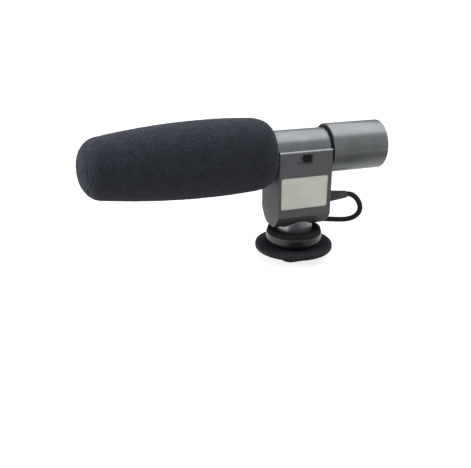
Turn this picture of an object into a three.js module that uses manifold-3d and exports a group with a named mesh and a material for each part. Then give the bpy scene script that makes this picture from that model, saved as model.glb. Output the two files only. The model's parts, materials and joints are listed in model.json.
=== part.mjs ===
// On-camera condenser microphone with a foam windscreen, a stem housing and a shoe mount.
// Millimetres, +Z up. The origin is the centre of the shoe foot's underside. The microphone's
// axis runs along X, and its front points to -X.
import * as THREE from 'three';
import { mergeVertices } from 'three/addons/utils/BufferGeometryUtils.js';
import Module from 'manifold-3d';

// Clearances
const seatGap = 0.3;          // between a piece and the seat that carries it
const snugGap = 0.15;         // between flat faces that are fastened together
const sleeveGap = 0.2;        // between a tube and the bore that holds it all round
const overrun = 2;            // how far a cutter passes through what it cuts

// Shoe foot and the stud that holds it on the stem
const footWidth = 18.6;
const footLength = 15.6;
const footThickness = 2;
const footCornerRadius = 4.2;
const footFloor = 0.6;
const studRadius = 1.5;
const studTop = 9;

// Locking wheel, from its disc up to its cup, and the pad under it
const shoeOpening = 1.8;
const wheelRadius = 17;
const wheelThickness = 2.3;
const wheelEdgeBevel = 0.4;
const knurlDepth = 0.35;
const knurlCount = 48;
const hubWaistRadius = 10.1;
const hubBowlRadius = 12.1;
const hubBowlHeight = 5.2;
const hubCollarRadius = 11.7;
const hubCollarHeight = 1.7;
const hubCollarBevel = 0.35;
const cupRadius = 8.3;
const cupDepth = 2.6;
const padInnerRadius = 6.3;
const padOuterRadius = 13.2;
const padThickness = 0.7;

// Mount stem and the nut that holds it in the housing
const postRadius = 4.6;
const neckRadius = 7.9;
const spigotRadius = 3.4;
const spigotStandUp = 3.6;
const nutRadius = 4.7;
const nutThickness = 2.7;

// Stem housing: a block with upright sides over a keel
const housingFront = -11.6;
const housingRear = 12.3;
const housingHalfWidth = 9.8;
const housingEdge = 0.35;
const housingWall = 1.8;
const housingHeight = 34.2;     // from the keel's bottom to the ledge beside the tube
const ledgeRise = 2.1;
const keelClearance = 2.4;
const keelHeight = 5.9;
const keelFlatShare = 0.3;
const keelFullnessShare = 0.64;
const cavityFloorRise = 6.6;
const coverThickness = 1.95;
const coverScrewRadius = 1;
const coverScrewHeadRadius = 1.9;
const coverScrewLength = 5.7;
const bossRadius = 2.1;
const bossDepth = 4.7;

// Name plate in its recess on the near side
const plateLength = 20.8;
const plateThickness = 0.35;
const plateStandOut = 0.15;
const plateCentreX = -0.2;
const plateLowerMargin = 3.9;   // above the keel
const plateUpperMargin = 5.5;   // below the switch
const plateCornerRadius = 0.5;

// Slide switch in the housing's near side
const switchCentreX = -0.3;
const switchDrop = 1.3;
const slotLength = 6.2;
const slotHeight = 3.2;
const slotFrameWidth = 0.5;
const slotFrameDepth = 0.3;
const knobLength = 3.2;
const knobHeight = 2.4;
const knobStandOut = 0.35;
const knobStemLength = 1.4;
const knobStemHeight = 1.2;
const knobStemDepth = 0.9;
const switchBodyLength = 8.6;
const switchBodyHeight = 4.2;
const switchBodyDepth = 2.4;
const switchBodyInset = 1.5;

// Main body tube with a front spigot and a threaded rear neck
const tubeRadius = 8.9;
const tubeBore = 7.7;
const tubeFront = -26;
const tubeRear = 12.3;
const spigotOuterRadius = 7.5;
const spigotBore = 6.4;
const frontSpigotLength = 5;
const neckOuterRadius = 8.4;
const neckLength = 9.7;
const tubeEdge = 0.3;

// Slotted front barrel and its nose cap
const barrelLength = 58;
const barrelWall = 1;
const slotRows = 4;
const slotsPerRow = 6;
const barrelSlotWidth = 2.8;
const barrelSlotSpan = 7;
const barrelSlotPitch = 6.2;
const firstSlotFromNose = 7;
const noseLength = 2.4;
const noseSpigotLength = 3;
const noseEdge = 0.9;
const grilleThickness = 0.9;
const grilleHoleRadius = 0.95;
const grilleHolePitch = 3;
const grilleRings = 2;

// Capsule in its rubber holder
const holderLength = 8;
const holderLip = 1.2;
const capsuleRadius = 4.85;
const capsuleLength = 6.4;
const capsuleRearRadius = 4.1;
const capsuleRearStep = 0.8;

// Battery compartment
const cellRadius = 5.25;
const cellLength = 43.4;
const cellFront = -13;
const cellNubRadius = 1.9;
const cellNubLength = 1;
const cellEdge = 0.5;
const contactDiscRadius = 7.4;
const contactDiscThickness = 1.6;
const contactButtonRadius = 2.4;
const contactButtonHeight = 0.6;
const sleeveWall = 1.7;

// Battery cap with its seal, contact disc and spring
const capRadius = 10.4;
const capBore = 8;
const capRear = 38;
const capEndWall = 1.6;
const capRearEdge = 0.5;
const capFrontEdge = 0.35;
const capFrontGap = 0.4;
const sealWidth = 0.9;
const sealOuterRadius = 9.5;
const capDiscRadius = 6.4;
const capDiscThickness = 0.5;
const springRadius = 3.4;
const springWire = 0.6;
const springTurns = 3;

// Foam windscreen
const foamTip = -91;
const foamRear = -12.2;
const foamNoseRadius = 12.4;
const foamBellyRadius = 15.65;
const foamTailRadius = 15.1;
const foamBellyPlace = -38.5;
const foamNoseRound = 9.2;
const foamTailRoundLength = 9.8;
const foamTailRoundDepth = 5.5;
const foamFit = 0.4;

// Circuit board and its parts
const boardLength = 15.6;
const boardClearance = 1.3;     // above the mount stem's end
const boardThickness = 1.2;
const boardStandOff = 3.4;
const standOffRadius = 1.4;
const boardScrewHeadRadius = 1.5;
const boardScrewHeadHeight = 1;
const capacitorShare = 0.4;     // of the board's height
const capacitorLength = 5.6;
const chipLength = 5;
const chipShare = 0.2;          // of the board's height
const chipDepth = 1.4;

// Strain relief of the lead
const reliefHeight = 25.5;
const reliefLength = 12.3;
const reliefRootRadius = 2.9;
const reliefTipRadius = 1.6;
const reliefCollarRadius = 2.6;
const reliefCollarThickness = 1.2;
const reliefNeckRadius = 1.9;
const reliefTipEdge = 0.3;

// Lead, its coil and the tie round the coil
const cordRadius = 1.2;
const coilCentreX = 21.5;
const coilCentreY = 42.9;
const coilOuterRadius = 14.6;
const coilPitch = 4.4;
const coilTurns = 1.1;
const coilStartAngle = Math.PI;
const coilStepsPerTurn = 24;
const coilSides = 6;
const tieThickness = 0.5;
const tieWidth = 4;
const tieAngle = 0.9 * Math.PI;

// 3.5 mm plug on the end of the lead
const plugReliefLength = 4;
const plugReliefRadius = 2.4;
const plugShellRadius = 3.25;
const plugShellLength = 12;
const plugShellEdge = 0.6;
const plugGripRibs = 4;
const plugGripDepth = 0.25;
const plugPinRadius = 1.75;
const plugPinLength = 14;
const plugPinCollarRadius = 2.4;
const plugPinCollarLength = 0.8;
const plugWaistRadius = 1.2;
const plugTipLength = 3;

// Faces round each turned piece
const turnedSides = 48;
const smallSides = 20;
const tinySides = 12;
const foamSides = 40;
const barrelSides = 32;
const gripSides = 16;

// Heights and places that follow from the sizes above
const padBottom = footThickness + shoeOpening;
const wheelTop = padBottom + wheelThickness;
const bowlTop = wheelTop + hubBowlHeight;
const rimTop = bowlTop + hubCollarHeight;
const cupFloor = rimTop - cupDepth;
const neckBottom = cupFloor + seatGap;
const postBottom = footThickness + seatGap;
const keelBottom = rimTop + keelClearance;
const keelTop = keelBottom + keelHeight;
const housingTop = keelBottom + housingHeight;
const axisHeight = housingTop - ledgeRise;
const housingLength = housingRear - housingFront;
const housingMiddle = (housingFront + housingRear) / 2;
const cavityFloor = keelBottom + cavityFloorRise;
const saddleRadius = tubeRadius + sleeveGap;
const cavityCeiling = axisHeight - saddleRadius - housingWall;
const coverSeam = housingHalfWidth - coverThickness;
const cavityNear = -housingHalfWidth + housingWall;
const switchHeight = axisHeight - switchDrop;
const plateBottom = keelTop + plateLowerMargin;
const plateTop = switchHeight - slotHeight / 2 - slotFrameWidth - plateUpperMargin;
const plateHeight = plateTop - plateBottom;
const plateCentreZ = (plateTop + plateBottom) / 2;
const neckRear = tubeRear + neckLength;
const sealFront = tubeRear + seatGap;
const capFront = housingRear + capFrontGap;
const capRecessEnd = sealFront + sealWidth + seatGap;
const barrelRear = tubeFront - seatGap;
const barrelFront = barrelRear - barrelLength;
const barrelBore = tubeRadius - barrelWall;
const noseRear = barrelFront - seatGap;
const noseFront = noseRear - noseLength;
const holderRear = tubeFront - frontSpigotLength - seatGap;
const holderFront = holderRear - holderLength;
const cellRear = cellFront + cellLength;
const contactDiscRear = cellFront - cellNubLength - contactButtonHeight - seatGap;
const contactDiscFront = contactDiscRear - contactDiscThickness;
const capInnerEnd = capRear - capEndWall;
const capDiscRear = capInnerEnd - seatGap;
const capDiscFront = capDiscRear - capDiscThickness;
const boardNear = cavityNear + boardStandOff;
const boardFar = boardNear + boardThickness;
const boardCentreX = housingMiddle - boardScrewHeadHeight;
const boardTop = cavityCeiling - seatGap;
const boardBottom = cavityFloor + spigotStandUp + boardClearance;
const boardHeight = boardTop - boardBottom;
const boardCentreZ = (boardTop + boardBottom) / 2;
const capacitorRadius = boardHeight * capacitorShare / 2;
const reliefRoot = housingRear + seatGap;
const reliefTip = reliefRoot + reliefLength;
const laidHeight = tieThickness + seatGap + cordRadius;
const plugHeight = laidHeight + cordRadius + seatGap + plugShellRadius;

const wasm = await Module();
wasm.setup();

// Materials
function finish(colour, roughness, metalness) {
  return new THREE.MeshStandardMaterial({ color: new THREE.Color(colour), roughness, metalness });
}
const foamFinish = finish('#26282d', 0.95, 0);
const gunMetal = finish('#63676a', 0.4, 0.6);
const housingPlastic = finish('#505258', 0.6, 0);
const blackPlastic = finish('#1b1d24', 0.5, 0);
const greyPlastic = finish('#3a3c41', 0.6, 0);
const blackRubber = finish('#151517', 0.8, 0);
const darkMetal = finish('#2a2c31', 0.45, 0.6);
const brightSteel = finish('#b4b6b8', 0.3, 0.9);
const brass = finish('#b08d4a', 0.35, 0.9);
const plateMetal = finish('#afb1a6', 0.35, 0.6);
const boardGreen = finish('#23573a', 0.6, 0);
const cellJacket = finish('#8a8f96', 0.4, 0.4);

// A closed mesh becomes a solid: only its places are kept, slivers without area are dropped, and
// its faces are turned outwards.
function solidOf(geometry) {
  const bare = geometry.clone();
  for (const name of Object.keys(bare.attributes)) {
    if (name !== 'position') bare.deleteAttribute(name);
  }
  const merged = mergeVertices(bare, 1e-4);
  const places = merged.attributes.position;
  const corners = merged.index.array;
  const kept = [];
  let volume = 0;
  const a = new THREE.Vector3();
  const b = new THREE.Vector3();
  const c = new THREE.Vector3();
  for (let i = 0; i < corners.length; i += 3) {
    const [p, q, r] = [corners[i], corners[i + 1], corners[i + 2]];
    if (p === q || q === r || r === p) continue;
    a.fromBufferAttribute(places, p);
    b.fromBufferAttribute(places, q);
    c.fromBufferAttribute(places, r);
    volume += a.dot(b.clone().cross(c));
    kept.push(p, q, r);
  }
  if (volume < 0) kept.reverse();
  const vertProperties = new Float32Array(places.array);
  const triVerts = new Uint32Array(kept);
  return new wasm.Manifold(new wasm.Mesh({ numProp: 3, vertProperties, triVerts }));
}

function cut(solid, ...cutters) {
  return cutters.reduce((left, cutter) => left.subtract(cutter), solid);
}

function join(solid, ...others) {
  return others.reduce((whole, other) => whole.add(other), solid);
}

// Each of these turns a form from its drawing axes to the part's axes.
const upright = new THREE.Matrix4().makeBasis(
  new THREE.Vector3(1, 0, 0), new THREE.Vector3(0, 0, 1), new THREE.Vector3(0, -1, 0));
const lengthwise = new THREE.Matrix4().makeBasis(
  new THREE.Vector3(0, 1, 0), new THREE.Vector3(1, 0, 0), new THREE.Vector3(0, 0, -1));
const sectionToX = new THREE.Matrix4().makeBasis(
  new THREE.Vector3(0, 1, 0), new THREE.Vector3(0, 0, 1), new THREE.Vector3(1, 0, 0));

function points(pairs) {
  return pairs.map(([across, along]) => new THREE.Vector2(across, along));
}

function closedLoop(pairs) {
  return points([...pairs, pairs[0]]);
}

// Turned pieces are drawn as (radius, place along the axis).
function turnedUpright(outline, sides = turnedSides) {
  return solidOf(new THREE.LatheGeometry(outline, sides).applyMatrix4(upright));
}

function turnedLengthwise(outline, sides = turnedSides) {
  const geometry = new THREE.LatheGeometry(outline, sides).applyMatrix4(lengthwise);
  return solidOf(geometry.translate(0, 0, axisHeight));
}

function uprightRod(radius, bottom, top, x = 0, y = 0, sides = smallSides) {
  const geometry = new THREE.CylinderGeometry(radius, radius, top - bottom, sides);
  geometry.applyMatrix4(upright).translate(x, y, (bottom + top) / 2);
  return solidOf(geometry);
}

// A round rod across the part, from the near face at nearY to the far face at farY.
function crosswiseRod(nearRadius, farRadius, nearY, farY, x, z, sides = smallSides) {
  const geometry = new THREE.CylinderGeometry(farRadius, nearRadius, farY - nearY, sides);
  geometry.translate(x, (nearY + farY) / 2, z);
  return solidOf(geometry);
}

function block(xRange, yRange, zRange) {
  const size = [xRange, yRange, zRange].map(([low, high]) => high - low);
  const middle = [xRange, yRange, zRange].map(([low, high]) => (low + high) / 2);
  return solidOf(new THREE.BoxGeometry(...size).translate(...middle));
}

function roundedRectangle(width, height, radius) {
  const shape = new THREE.Shape();
  const [w, h] = [width / 2, height / 2];
  shape.moveTo(-w + radius, -h);
  shape.lineTo(w - radius, -h);
  shape.absarc(w - radius, -h + radius, radius, -Math.PI / 2, 0);
  shape.lineTo(w, h - radius);
  shape.absarc(w - radius, h - radius, radius, 0, Math.PI / 2);
  shape.lineTo(-w + radius, h);
  shape.absarc(-w + radius, h - radius, radius, Math.PI / 2, Math.PI);
  shape.lineTo(-w, -h + radius);
  shape.absarc(-w + radius, -h + radius, radius, Math.PI, 1.5 * Math.PI);
  return shape;
}

// A rounded rectangle in the XZ plane, centred at (x, z), from nearY to farY.
function sidePlate(length, height, radius, x, z, nearY, farY) {
  const shape = roundedRectangle(length, height, radius);
  const geometry = new THREE.ExtrudeGeometry(shape,
    { depth: farY - nearY, bevelEnabled: false, curveSegments: 5 });
  return solidOf(geometry.applyMatrix4(upright).translate(x, farY, z));
}

// The housing's section: upright sides, a flat top, and a keel that curves in to a narrow flat.
function housingSection() {
  const w = housingHalfWidth;
  const shape = new THREE.Shape();
  shape.moveTo(w * keelFlatShare, keelBottom);
  shape.quadraticCurveTo(w * keelFullnessShare, keelBottom, w, keelTop);
  shape.lineTo(w, housingTop);
  shape.lineTo(-w, housingTop);
  shape.lineTo(-w, keelTop);
  shape.quadraticCurveTo(-w * keelFullnessShare, keelBottom, -w * keelFlatShare, keelBottom);
  return shape;
}

function housingBlock() {
  const geometry = new THREE.ExtrudeGeometry(housingSection(), {
    depth: housingLength - 2 * housingEdge,
    bevelSize: housingEdge,
    bevelThickness: housingEdge,
    bevelOffset: -housingEdge,
    bevelSegments: 2,
    curveSegments: 8,
  });
  geometry.applyMatrix4(sectionToX).translate(housingFront + housingEdge, 0, 0);
  return solidOf(geometry);
}

function saddle() {
  const outline = points([
    [0, housingFront - overrun], [saddleRadius, housingFront - overrun],
    [saddleRadius, housingRear + overrun], [0, housingRear + overrun],
  ]);
  return turnedLengthwise(outline);
}

// Places of the cover's four screws, near the corners of the far side.
function coverScrewPlaces() {
  const inset = housingWall + bossRadius * 0.8;
  const low = cavityFloor + bossRadius * 0.85;
  const high = cavityCeiling - bossRadius * 0.85;
  const front = housingFront + inset;
  const rear = housingRear - inset;
  return [[front, low], [front, high], [rear, low], [rear, high]];
}

function boardScrewPlaces() {
  const reach = boardLength / 2 - 2 * standOffRadius;
  return [[boardCentreX - reach, boardCentreZ], [boardCentreX + reach, boardCentreZ]];
}

function switchSlot(margin, nearY, farY) {
  return sidePlate(slotLength + 2 * margin, slotHeight + 2 * margin, slotFrameWidth,
    switchCentreX, switchHeight, nearY, farY);
}

const switchBodyOuter = -tubeRadius + switchBodyDepth / 3;
const switchBodyInner = switchBodyOuter + switchBodyDepth;
const knobRest = switchCentreX + (slotLength - knobLength) / 2 - seatGap;

// Space round the switch body, cut through the tube and the battery sleeve.
function switchWindow() {
  const halfLength = switchBodyLength / 2 + seatGap;
  const halfHeight = switchBodyHeight / 2 + seatGap;
  return block(
    [switchCentreX - halfLength, switchCentreX + halfLength],
    [-tubeRadius - overrun, switchBodyInner + seatGap],
    [switchHeight - halfHeight, switchHeight + halfHeight]);
}

function makeHousing() {
  const outer = block(
    [housingFront - overrun, housingRear + overrun],
    [coverSeam - snugGap, housingHalfWidth + overrun],
    [keelBottom - overrun, housingTop + overrun]);
  const cavity = block(
    [housingFront + housingWall, housingRear - housingWall],
    [cavityNear, housingHalfWidth],
    [cavityFloor, cavityCeiling]);
  const bossFar = coverSeam - snugGap;
  const bosses = coverScrewPlaces().map(([x, z]) =>
    crosswiseRod(bossRadius, bossRadius, bossFar - bossDepth, bossFar, x, z, gripSides));
  const standOffs = boardScrewPlaces().map(([x, z]) =>
    crosswiseRod(standOffRadius, standOffRadius, cavityNear - housingWall / 2, boardNear - seatGap,
      x, z, tinySides));
  const screwBores = coverScrewPlaces().map(([x, z]) =>
    crosswiseRod(coverScrewRadius + sleeveGap, coverScrewRadius + sleeveGap,
      bossFar - bossDepth + housingWall / 3, bossFar + overrun, x, z, tinySides));
  const spigotHole = uprightRod(spigotRadius + seatGap, keelBottom - overrun, cavityFloor + overrun);
  const cableHole = solidOf(new THREE.CylinderGeometry(reliefNeckRadius + seatGap,
    reliefNeckRadius + seatGap, housingWall + 2 * overrun, smallSides)
    .applyMatrix4(lengthwise).translate(housingRear - housingWall / 2, 0, reliefHeight));
  const plateRecess = sidePlate(plateLength + 2 * snugGap, plateHeight + 2 * snugGap, plateCornerRadius,
    plateCentreX, plateCentreZ, -housingHalfWidth - overrun,
    -housingHalfWidth - plateStandOut + plateThickness + seatGap);
  const slot = switchSlot(0, -housingHalfWidth - overrun, -tubeBore);
  const slotFrame = switchSlot(slotFrameWidth, -housingHalfWidth - overrun,
    -housingHalfWidth + slotFrameDepth);
  const shell = join(cut(housingBlock(), cavity), ...bosses, ...standOffs);
  return cut(shell, outer, saddle(), ...screwBores, spigotHole, cableHole, plateRecess, slot, slotFrame);
}

function makeCover() {
  const farSide = block(
    [housingFront - overrun, housingRear + overrun],
    [coverSeam, housingHalfWidth + overrun],
    [keelBottom - overrun, housingTop + overrun]);
  const shanks = coverScrewPlaces().map(([x, z]) =>
    crosswiseRod(coverScrewRadius + sleeveGap, coverScrewRadius + sleeveGap,
      coverSeam - overrun, housingHalfWidth + overrun, x, z, tinySides));
  const headDepth = coverScrewHeadRadius - coverScrewRadius + sleeveGap;
  const heads = coverScrewPlaces().map(([x, z]) =>
    crosswiseRod(coverScrewRadius + sleeveGap, coverScrewHeadRadius + 2 * sleeveGap,
      housingHalfWidth - headDepth - 2 * sleeveGap, housingHalfWidth + snugGap, x, z, tinySides));
  return cut(housingBlock().intersect(farSide), saddle(), ...shanks, ...heads);
}

// A countersunk screw that points to the near side, its head in the cover's face.
function makeCoverScrew(x, z) {
  const headFace = housingHalfWidth - snugGap;
  const headDepth = coverScrewHeadRadius - coverScrewRadius;
  const headSeat = headFace - headDepth;
  const outline = points([
    [0, headFace - coverScrewLength], [coverScrewRadius * 0.7, headFace - coverScrewLength],
    [coverScrewRadius, headFace - coverScrewLength + coverScrewRadius / 2],
    [coverScrewRadius, headSeat], [coverScrewHeadRadius, headFace], [0, headFace],
  ]);
  return solidOf(new THREE.LatheGeometry(outline, tinySides).translate(x, 0, z));
}

function makeNamePlate() {
  const nearFace = -housingHalfWidth - plateStandOut;
  return sidePlate(plateLength, plateHeight, plateCornerRadius, plateCentreX, plateCentreZ,
    nearFace, nearFace + plateThickness);
}

function makeSwitchBody() {
  const halfLength = switchBodyLength / 2;
  const halfHeight = switchBodyHeight / 2;
  const body = block(
    [switchCentreX - halfLength, switchCentreX + halfLength],
    [switchBodyOuter, switchBodyInner],
    [switchHeight - halfHeight, switchHeight + halfHeight]);
  const grooveLength = slotLength - knobLength + knobStemLength;
  const groove = sidePlate(grooveLength, knobStemHeight + 2 * seatGap, seatGap, switchCentreX,
    switchHeight, switchBodyOuter - overrun, switchBodyOuter + knobStemDepth);
  return cut(body, groove);
}

function makeSwitchKnob() {
  const outerFace = -housingHalfWidth - knobStandOut;
  const innerFace = switchBodyOuter - seatGap;
  const cap = sidePlate(knobLength, knobHeight, seatGap, knobRest, switchHeight, outerFace, innerFace);
  const stem = sidePlate(knobStemLength, knobStemHeight, snugGap, knobRest, switchHeight,
    innerFace - overrun / 4, switchBodyOuter + knobStemDepth - seatGap);
  return join(cap, stem);
}

function makeMainTube() {
  const outline = closedLoop([
    [spigotBore, tubeFront - frontSpigotLength], [spigotOuterRadius, tubeFront - frontSpigotLength],
    [spigotOuterRadius, tubeFront], [tubeRadius, tubeFront],
    [tubeRadius, tubeRear - tubeEdge], [tubeRadius - tubeEdge, tubeRear],
    [neckOuterRadius, tubeRear], [neckOuterRadius, neckRear - tubeEdge],
    [neckOuterRadius - tubeEdge, neckRear], [tubeBore, neckRear],
    [tubeBore, tubeFront + overrun], [spigotBore, tubeFront + overrun],
  ]);
  return cut(turnedLengthwise(outline), switchWindow());
}

function makeBarrel() {
  const outline = closedLoop([
    [barrelBore, barrelFront], [tubeRadius, barrelFront],
    [tubeRadius, barrelRear], [barrelBore, barrelRear],
  ]);
  const slotShape = roundedRectangle(barrelSlotWidth, barrelSlotSpan, barrelSlotWidth * 0.4);
  const cutters = [];
  for (let row = 0; row < slotRows; row += 1) {
    for (let i = 0; i < slotsPerRow; i += 1) {
      const geometry = new THREE.ExtrudeGeometry(slotShape,
        { depth: tubeRadius, bevelEnabled: false, curveSegments: 1 });
      geometry.translate(barrelFront + firstSlotFromNose + i * barrelSlotPitch, 0, barrelBore / 2);
      geometry.rotateX((row + 0.5) * 2 * Math.PI / slotRows).translate(0, 0, axisHeight);
      cutters.push(solidOf(geometry));
    }
  }
  return cut(turnedLengthwise(outline, barrelSides), ...cutters);
}

// The nose cap's face has rings of holes round a centre hole.
function makeNoseCap() {
  const plug = barrelBore - seatGap;
  const outline = points([
    [0, noseFront], [tubeRadius - noseEdge, noseFront], [tubeRadius, noseFront + noseEdge],
    [tubeRadius, noseRear], [plug, noseRear], [plug, noseRear + noseSpigotLength],
    [plug - barrelWall, noseRear + noseSpigotLength], [plug - barrelWall, noseFront + grilleThickness],
    [0, noseFront + grilleThickness],
  ]);
  const holes = [];
  for (let ring = 0; ring <= grilleRings; ring += 1) {
    const count = Math.max(1, 6 * ring);
    for (let i = 0; i < count; i += 1) {
      const angle = i * 2 * Math.PI / count;
      const reach = ring * grilleHolePitch;
      const drill = new THREE.CylinderGeometry(grilleHoleRadius, grilleHoleRadius,
        grilleThickness + overrun, 6).applyMatrix4(lengthwise);
      drill.translate(noseFront + grilleThickness / 2, reach * Math.cos(angle),
        axisHeight + reach * Math.sin(angle));
      holes.push(solidOf(drill));
    }
  }
  return cut(turnedLengthwise(outline, barrelSides), ...holes);
}

function makeCapsuleHolder() {
  const pocket = capsuleRadius + seatGap;
  const outline = closedLoop([
    [capsuleRearRadius, holderFront], [spigotOuterRadius, holderFront],
    [spigotOuterRadius, holderRear], [pocket, holderRear],
    [pocket, holderFront + holderLip], [capsuleRearRadius, holderFront + holderLip],
  ]);
  return turnedLengthwise(outline, barrelSides);
}

function makeCapsule() {
  const front = holderFront + holderLip + seatGap;
  const rear = front + capsuleLength;
  const outline = points([
    [0, front], [capsuleRadius, front], [capsuleRadius, rear - capsuleRearStep],
    [capsuleRearRadius, rear - capsuleRearStep], [capsuleRearRadius, rear], [0, rear],
  ]);
  return turnedLengthwise(outline, smallSides);
}

function makeFrontContact() {
  const outline = points([
    [0, contactDiscFront], [contactDiscRadius, contactDiscFront], [contactDiscRadius, contactDiscRear],
    [contactButtonRadius, contactDiscRear], [contactButtonRadius, contactDiscRear + contactButtonHeight],
    [0, contactDiscRear + contactButtonHeight],
  ]);
  return turnedLengthwise(outline, smallSides);
}

function makeBatterySleeve() {
  const outer = tubeBore - seatGap;
  const front = contactDiscRear + seatGap;
  const outline = closedLoop([
    [outer - sleeveWall, front], [outer, front], [outer, neckRear], [outer - sleeveWall, neckRear],
  ]);
  return cut(turnedLengthwise(outline, barrelSides), switchWindow());
}

function makeCell() {
  const outline = points([
    [0, cellFront - cellNubLength], [cellNubRadius, cellFront - cellNubLength],
    [cellNubRadius, cellFront], [cellRadius - cellEdge, cellFront], [cellRadius, cellFront + cellEdge],
    [cellRadius, cellRear - cellEdge], [cellRadius - cellEdge, cellRear], [0, cellRear],
  ]);
  return turnedLengthwise(outline, smallSides);
}

function makeSeal() {
  const rear = sealFront + sealWidth;
  const shoulder = (sealOuterRadius - neckOuterRadius) * 0.2;
  const bore = neckOuterRadius + sleeveGap;
  const outline = closedLoop([
    [bore, sealFront], [sealOuterRadius - shoulder, sealFront], [sealOuterRadius, sealFront + shoulder],
    [sealOuterRadius, rear - shoulder], [sealOuterRadius - shoulder, rear], [bore, rear],
  ]);
  return turnedLengthwise(outline);
}

function makeBatteryCap() {
  const threadBore = neckOuterRadius + sleeveGap;
  const outline = points([
    [0, capInnerEnd], [capBore - capRearEdge, capInnerEnd], [capBore, capInnerEnd - capRearEdge],
    [capBore, neckRear + seatGap], [threadBore, neckRear + seatGap], [threadBore, capRecessEnd],
    [sealOuterRadius + seatGap, capRecessEnd], [sealOuterRadius + seatGap, capFront],
    [capRadius - capFrontEdge / 2, capFront], [capRadius, capFront + capFrontEdge],
    [capRadius, capRear - capRearEdge], [capRadius - capRearEdge * 0.3, capRear - capRearEdge * 0.3],
    [capRadius - capRearEdge, capRear], [0, capRear],
  ]);
  return turnedLengthwise(outline);
}

function makeCapContact() {
  const outline = points([
    [0, capDiscFront], [capDiscRadius, capDiscFront], [capDiscRadius, capDiscRear], [0, capDiscRear],
  ]);
  return turnedLengthwise(outline, smallSides);
}

// A run of rings, each a list of points, joined into one closed tube with flat ends.
function tubeOfRings(rings) {
  const sides = rings[0].length;
  const places = rings.flat().flatMap((p) => [p.x, p.y, p.z]);
  const corners = [];
  for (let i = 0; i + 1 < rings.length; i += 1) {
    for (let k = 0; k < sides; k += 1) {
      const [a, b] = [i * sides + k, i * sides + (k + 1) % sides];
      corners.push(a, b, b + sides, a, b + sides, a + sides);
    }
  }
  const last = (rings.length - 1) * sides;
  for (let k = 1; k + 1 < sides; k += 1) {
    corners.push(0, k + 1, k);
    corners.push(last, last + k, last + k + 1);
  }
  const geometry = new THREE.BufferGeometry();
  geometry.setAttribute('position', new THREE.Float32BufferAttribute(places, 3));
  geometry.setIndex(corners);
  return geometry;
}

// Rings round a line whose turns lie about one axis: each ring holds its first corner along that axis.
function windingRings(line, radius, sides, axis) {
  return line.map((point, i) => {
    const before = line[Math.max(0, i - 1)];
    const after = line[Math.min(line.length - 1, i + 1)];
    const forward = after.clone().sub(before).normalize();
    const outward = axis.clone().cross(forward).normalize();
    const upward = forward.clone().cross(outward).normalize();
    return Array.from({ length: sides }, (_, k) => {
      const angle = (k + 0.5) * 2 * Math.PI / sides;
      return point.clone()
        .addScaledVector(outward, radius * Math.cos(angle))
        .addScaledVector(upward, radius * Math.sin(angle));
    });
  });
}

// The least clear distance between stretches of a winding that are over half a turn apart.
function leastGap(line, radius, stepsPerTurn) {
  let least = Infinity;
  for (let i = 0; i < line.length; i += 1) {
    for (let j = i + stepsPerTurn / 2; j < line.length; j += 1) {
      least = Math.min(least, line[i].distanceTo(line[j]));
    }
  }
  return least - 2 * radius;
}

// The cap's contact spring: a helix along X with its first and last half turns flat.
function springLine() {
  const stepsPerTurn = 12;
  const steps = springTurns * stepsPerTurn;
  const wire = springWire / 2;
  const rear = capDiscFront - seatGap - wire;
  const front = cellRear + seatGap + wire;
  const line = [];
  for (let i = 0; i <= steps; i += 1) {
    const angle = i * 2 * Math.PI / stepsPerTurn;
    const share = THREE.MathUtils.clamp((i - stepsPerTurn / 2) / (steps - stepsPerTurn), 0, 1);
    line.push(new THREE.Vector3(THREE.MathUtils.lerp(rear, front, share),
      springRadius * Math.cos(angle), axisHeight + springRadius * Math.sin(angle)));
  }
  return line;
}

function makeSpring() {
  const axis = new THREE.Vector3(1, 0, 0);
  return solidOf(tubeOfRings(windingRings(springLine(), springWire / 2, 6, axis)));
}

// The foam is drawn from its tip back to its tail, then down its blind bore.
function makeWindscreen() {
  const outline = [];
  const noseSteps = 6;
  for (let i = 0; i <= noseSteps; i += 1) {
    const angle = i / noseSteps * Math.PI / 2;
    outline.push([foamNoseRadius * Math.sin(angle) ** 0.9, foamTip + foamNoseRound * (1 - Math.cos(angle))]);
  }
  const nosePlace = foamTip + foamNoseRound;
  const tailPlace = foamRear - foamTailRoundLength;
  const bodySteps = 7;
  for (let i = 1; i <= bodySteps; i += 1) {
    const x = THREE.MathUtils.lerp(nosePlace, tailPlace, i / bodySteps);
    const ahead = (foamBellyPlace - x) / (foamBellyPlace - nosePlace);
    const behind = (x - foamBellyPlace) / (tailPlace - foamBellyPlace);
    const radius = x < foamBellyPlace
      ? foamBellyRadius - (foamBellyRadius - foamNoseRadius) * ahead ** 2
      : foamBellyRadius - (foamBellyRadius - foamTailRadius) * behind ** 2;
    outline.push([radius, x]);
  }
  const tailSteps = 4;
  for (let i = 1; i <= tailSteps; i += 1) {
    const angle = i / tailSteps * Math.PI / 2;
    outline.push([foamTailRadius - foamTailRoundDepth * (1 - Math.cos(angle)),
      tailPlace + foamTailRoundLength * Math.sin(angle)]);
  }
  const bore = tubeRadius + foamFit;
  const boreEnd = noseFront - foamFit;
  outline.push([bore, foamRear], [bore, boreEnd + noseEdge], [bore - noseEdge, boreEnd], [0, boreEnd]);
  return turnedLengthwise(points(outline), foamSides);
}

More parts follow.
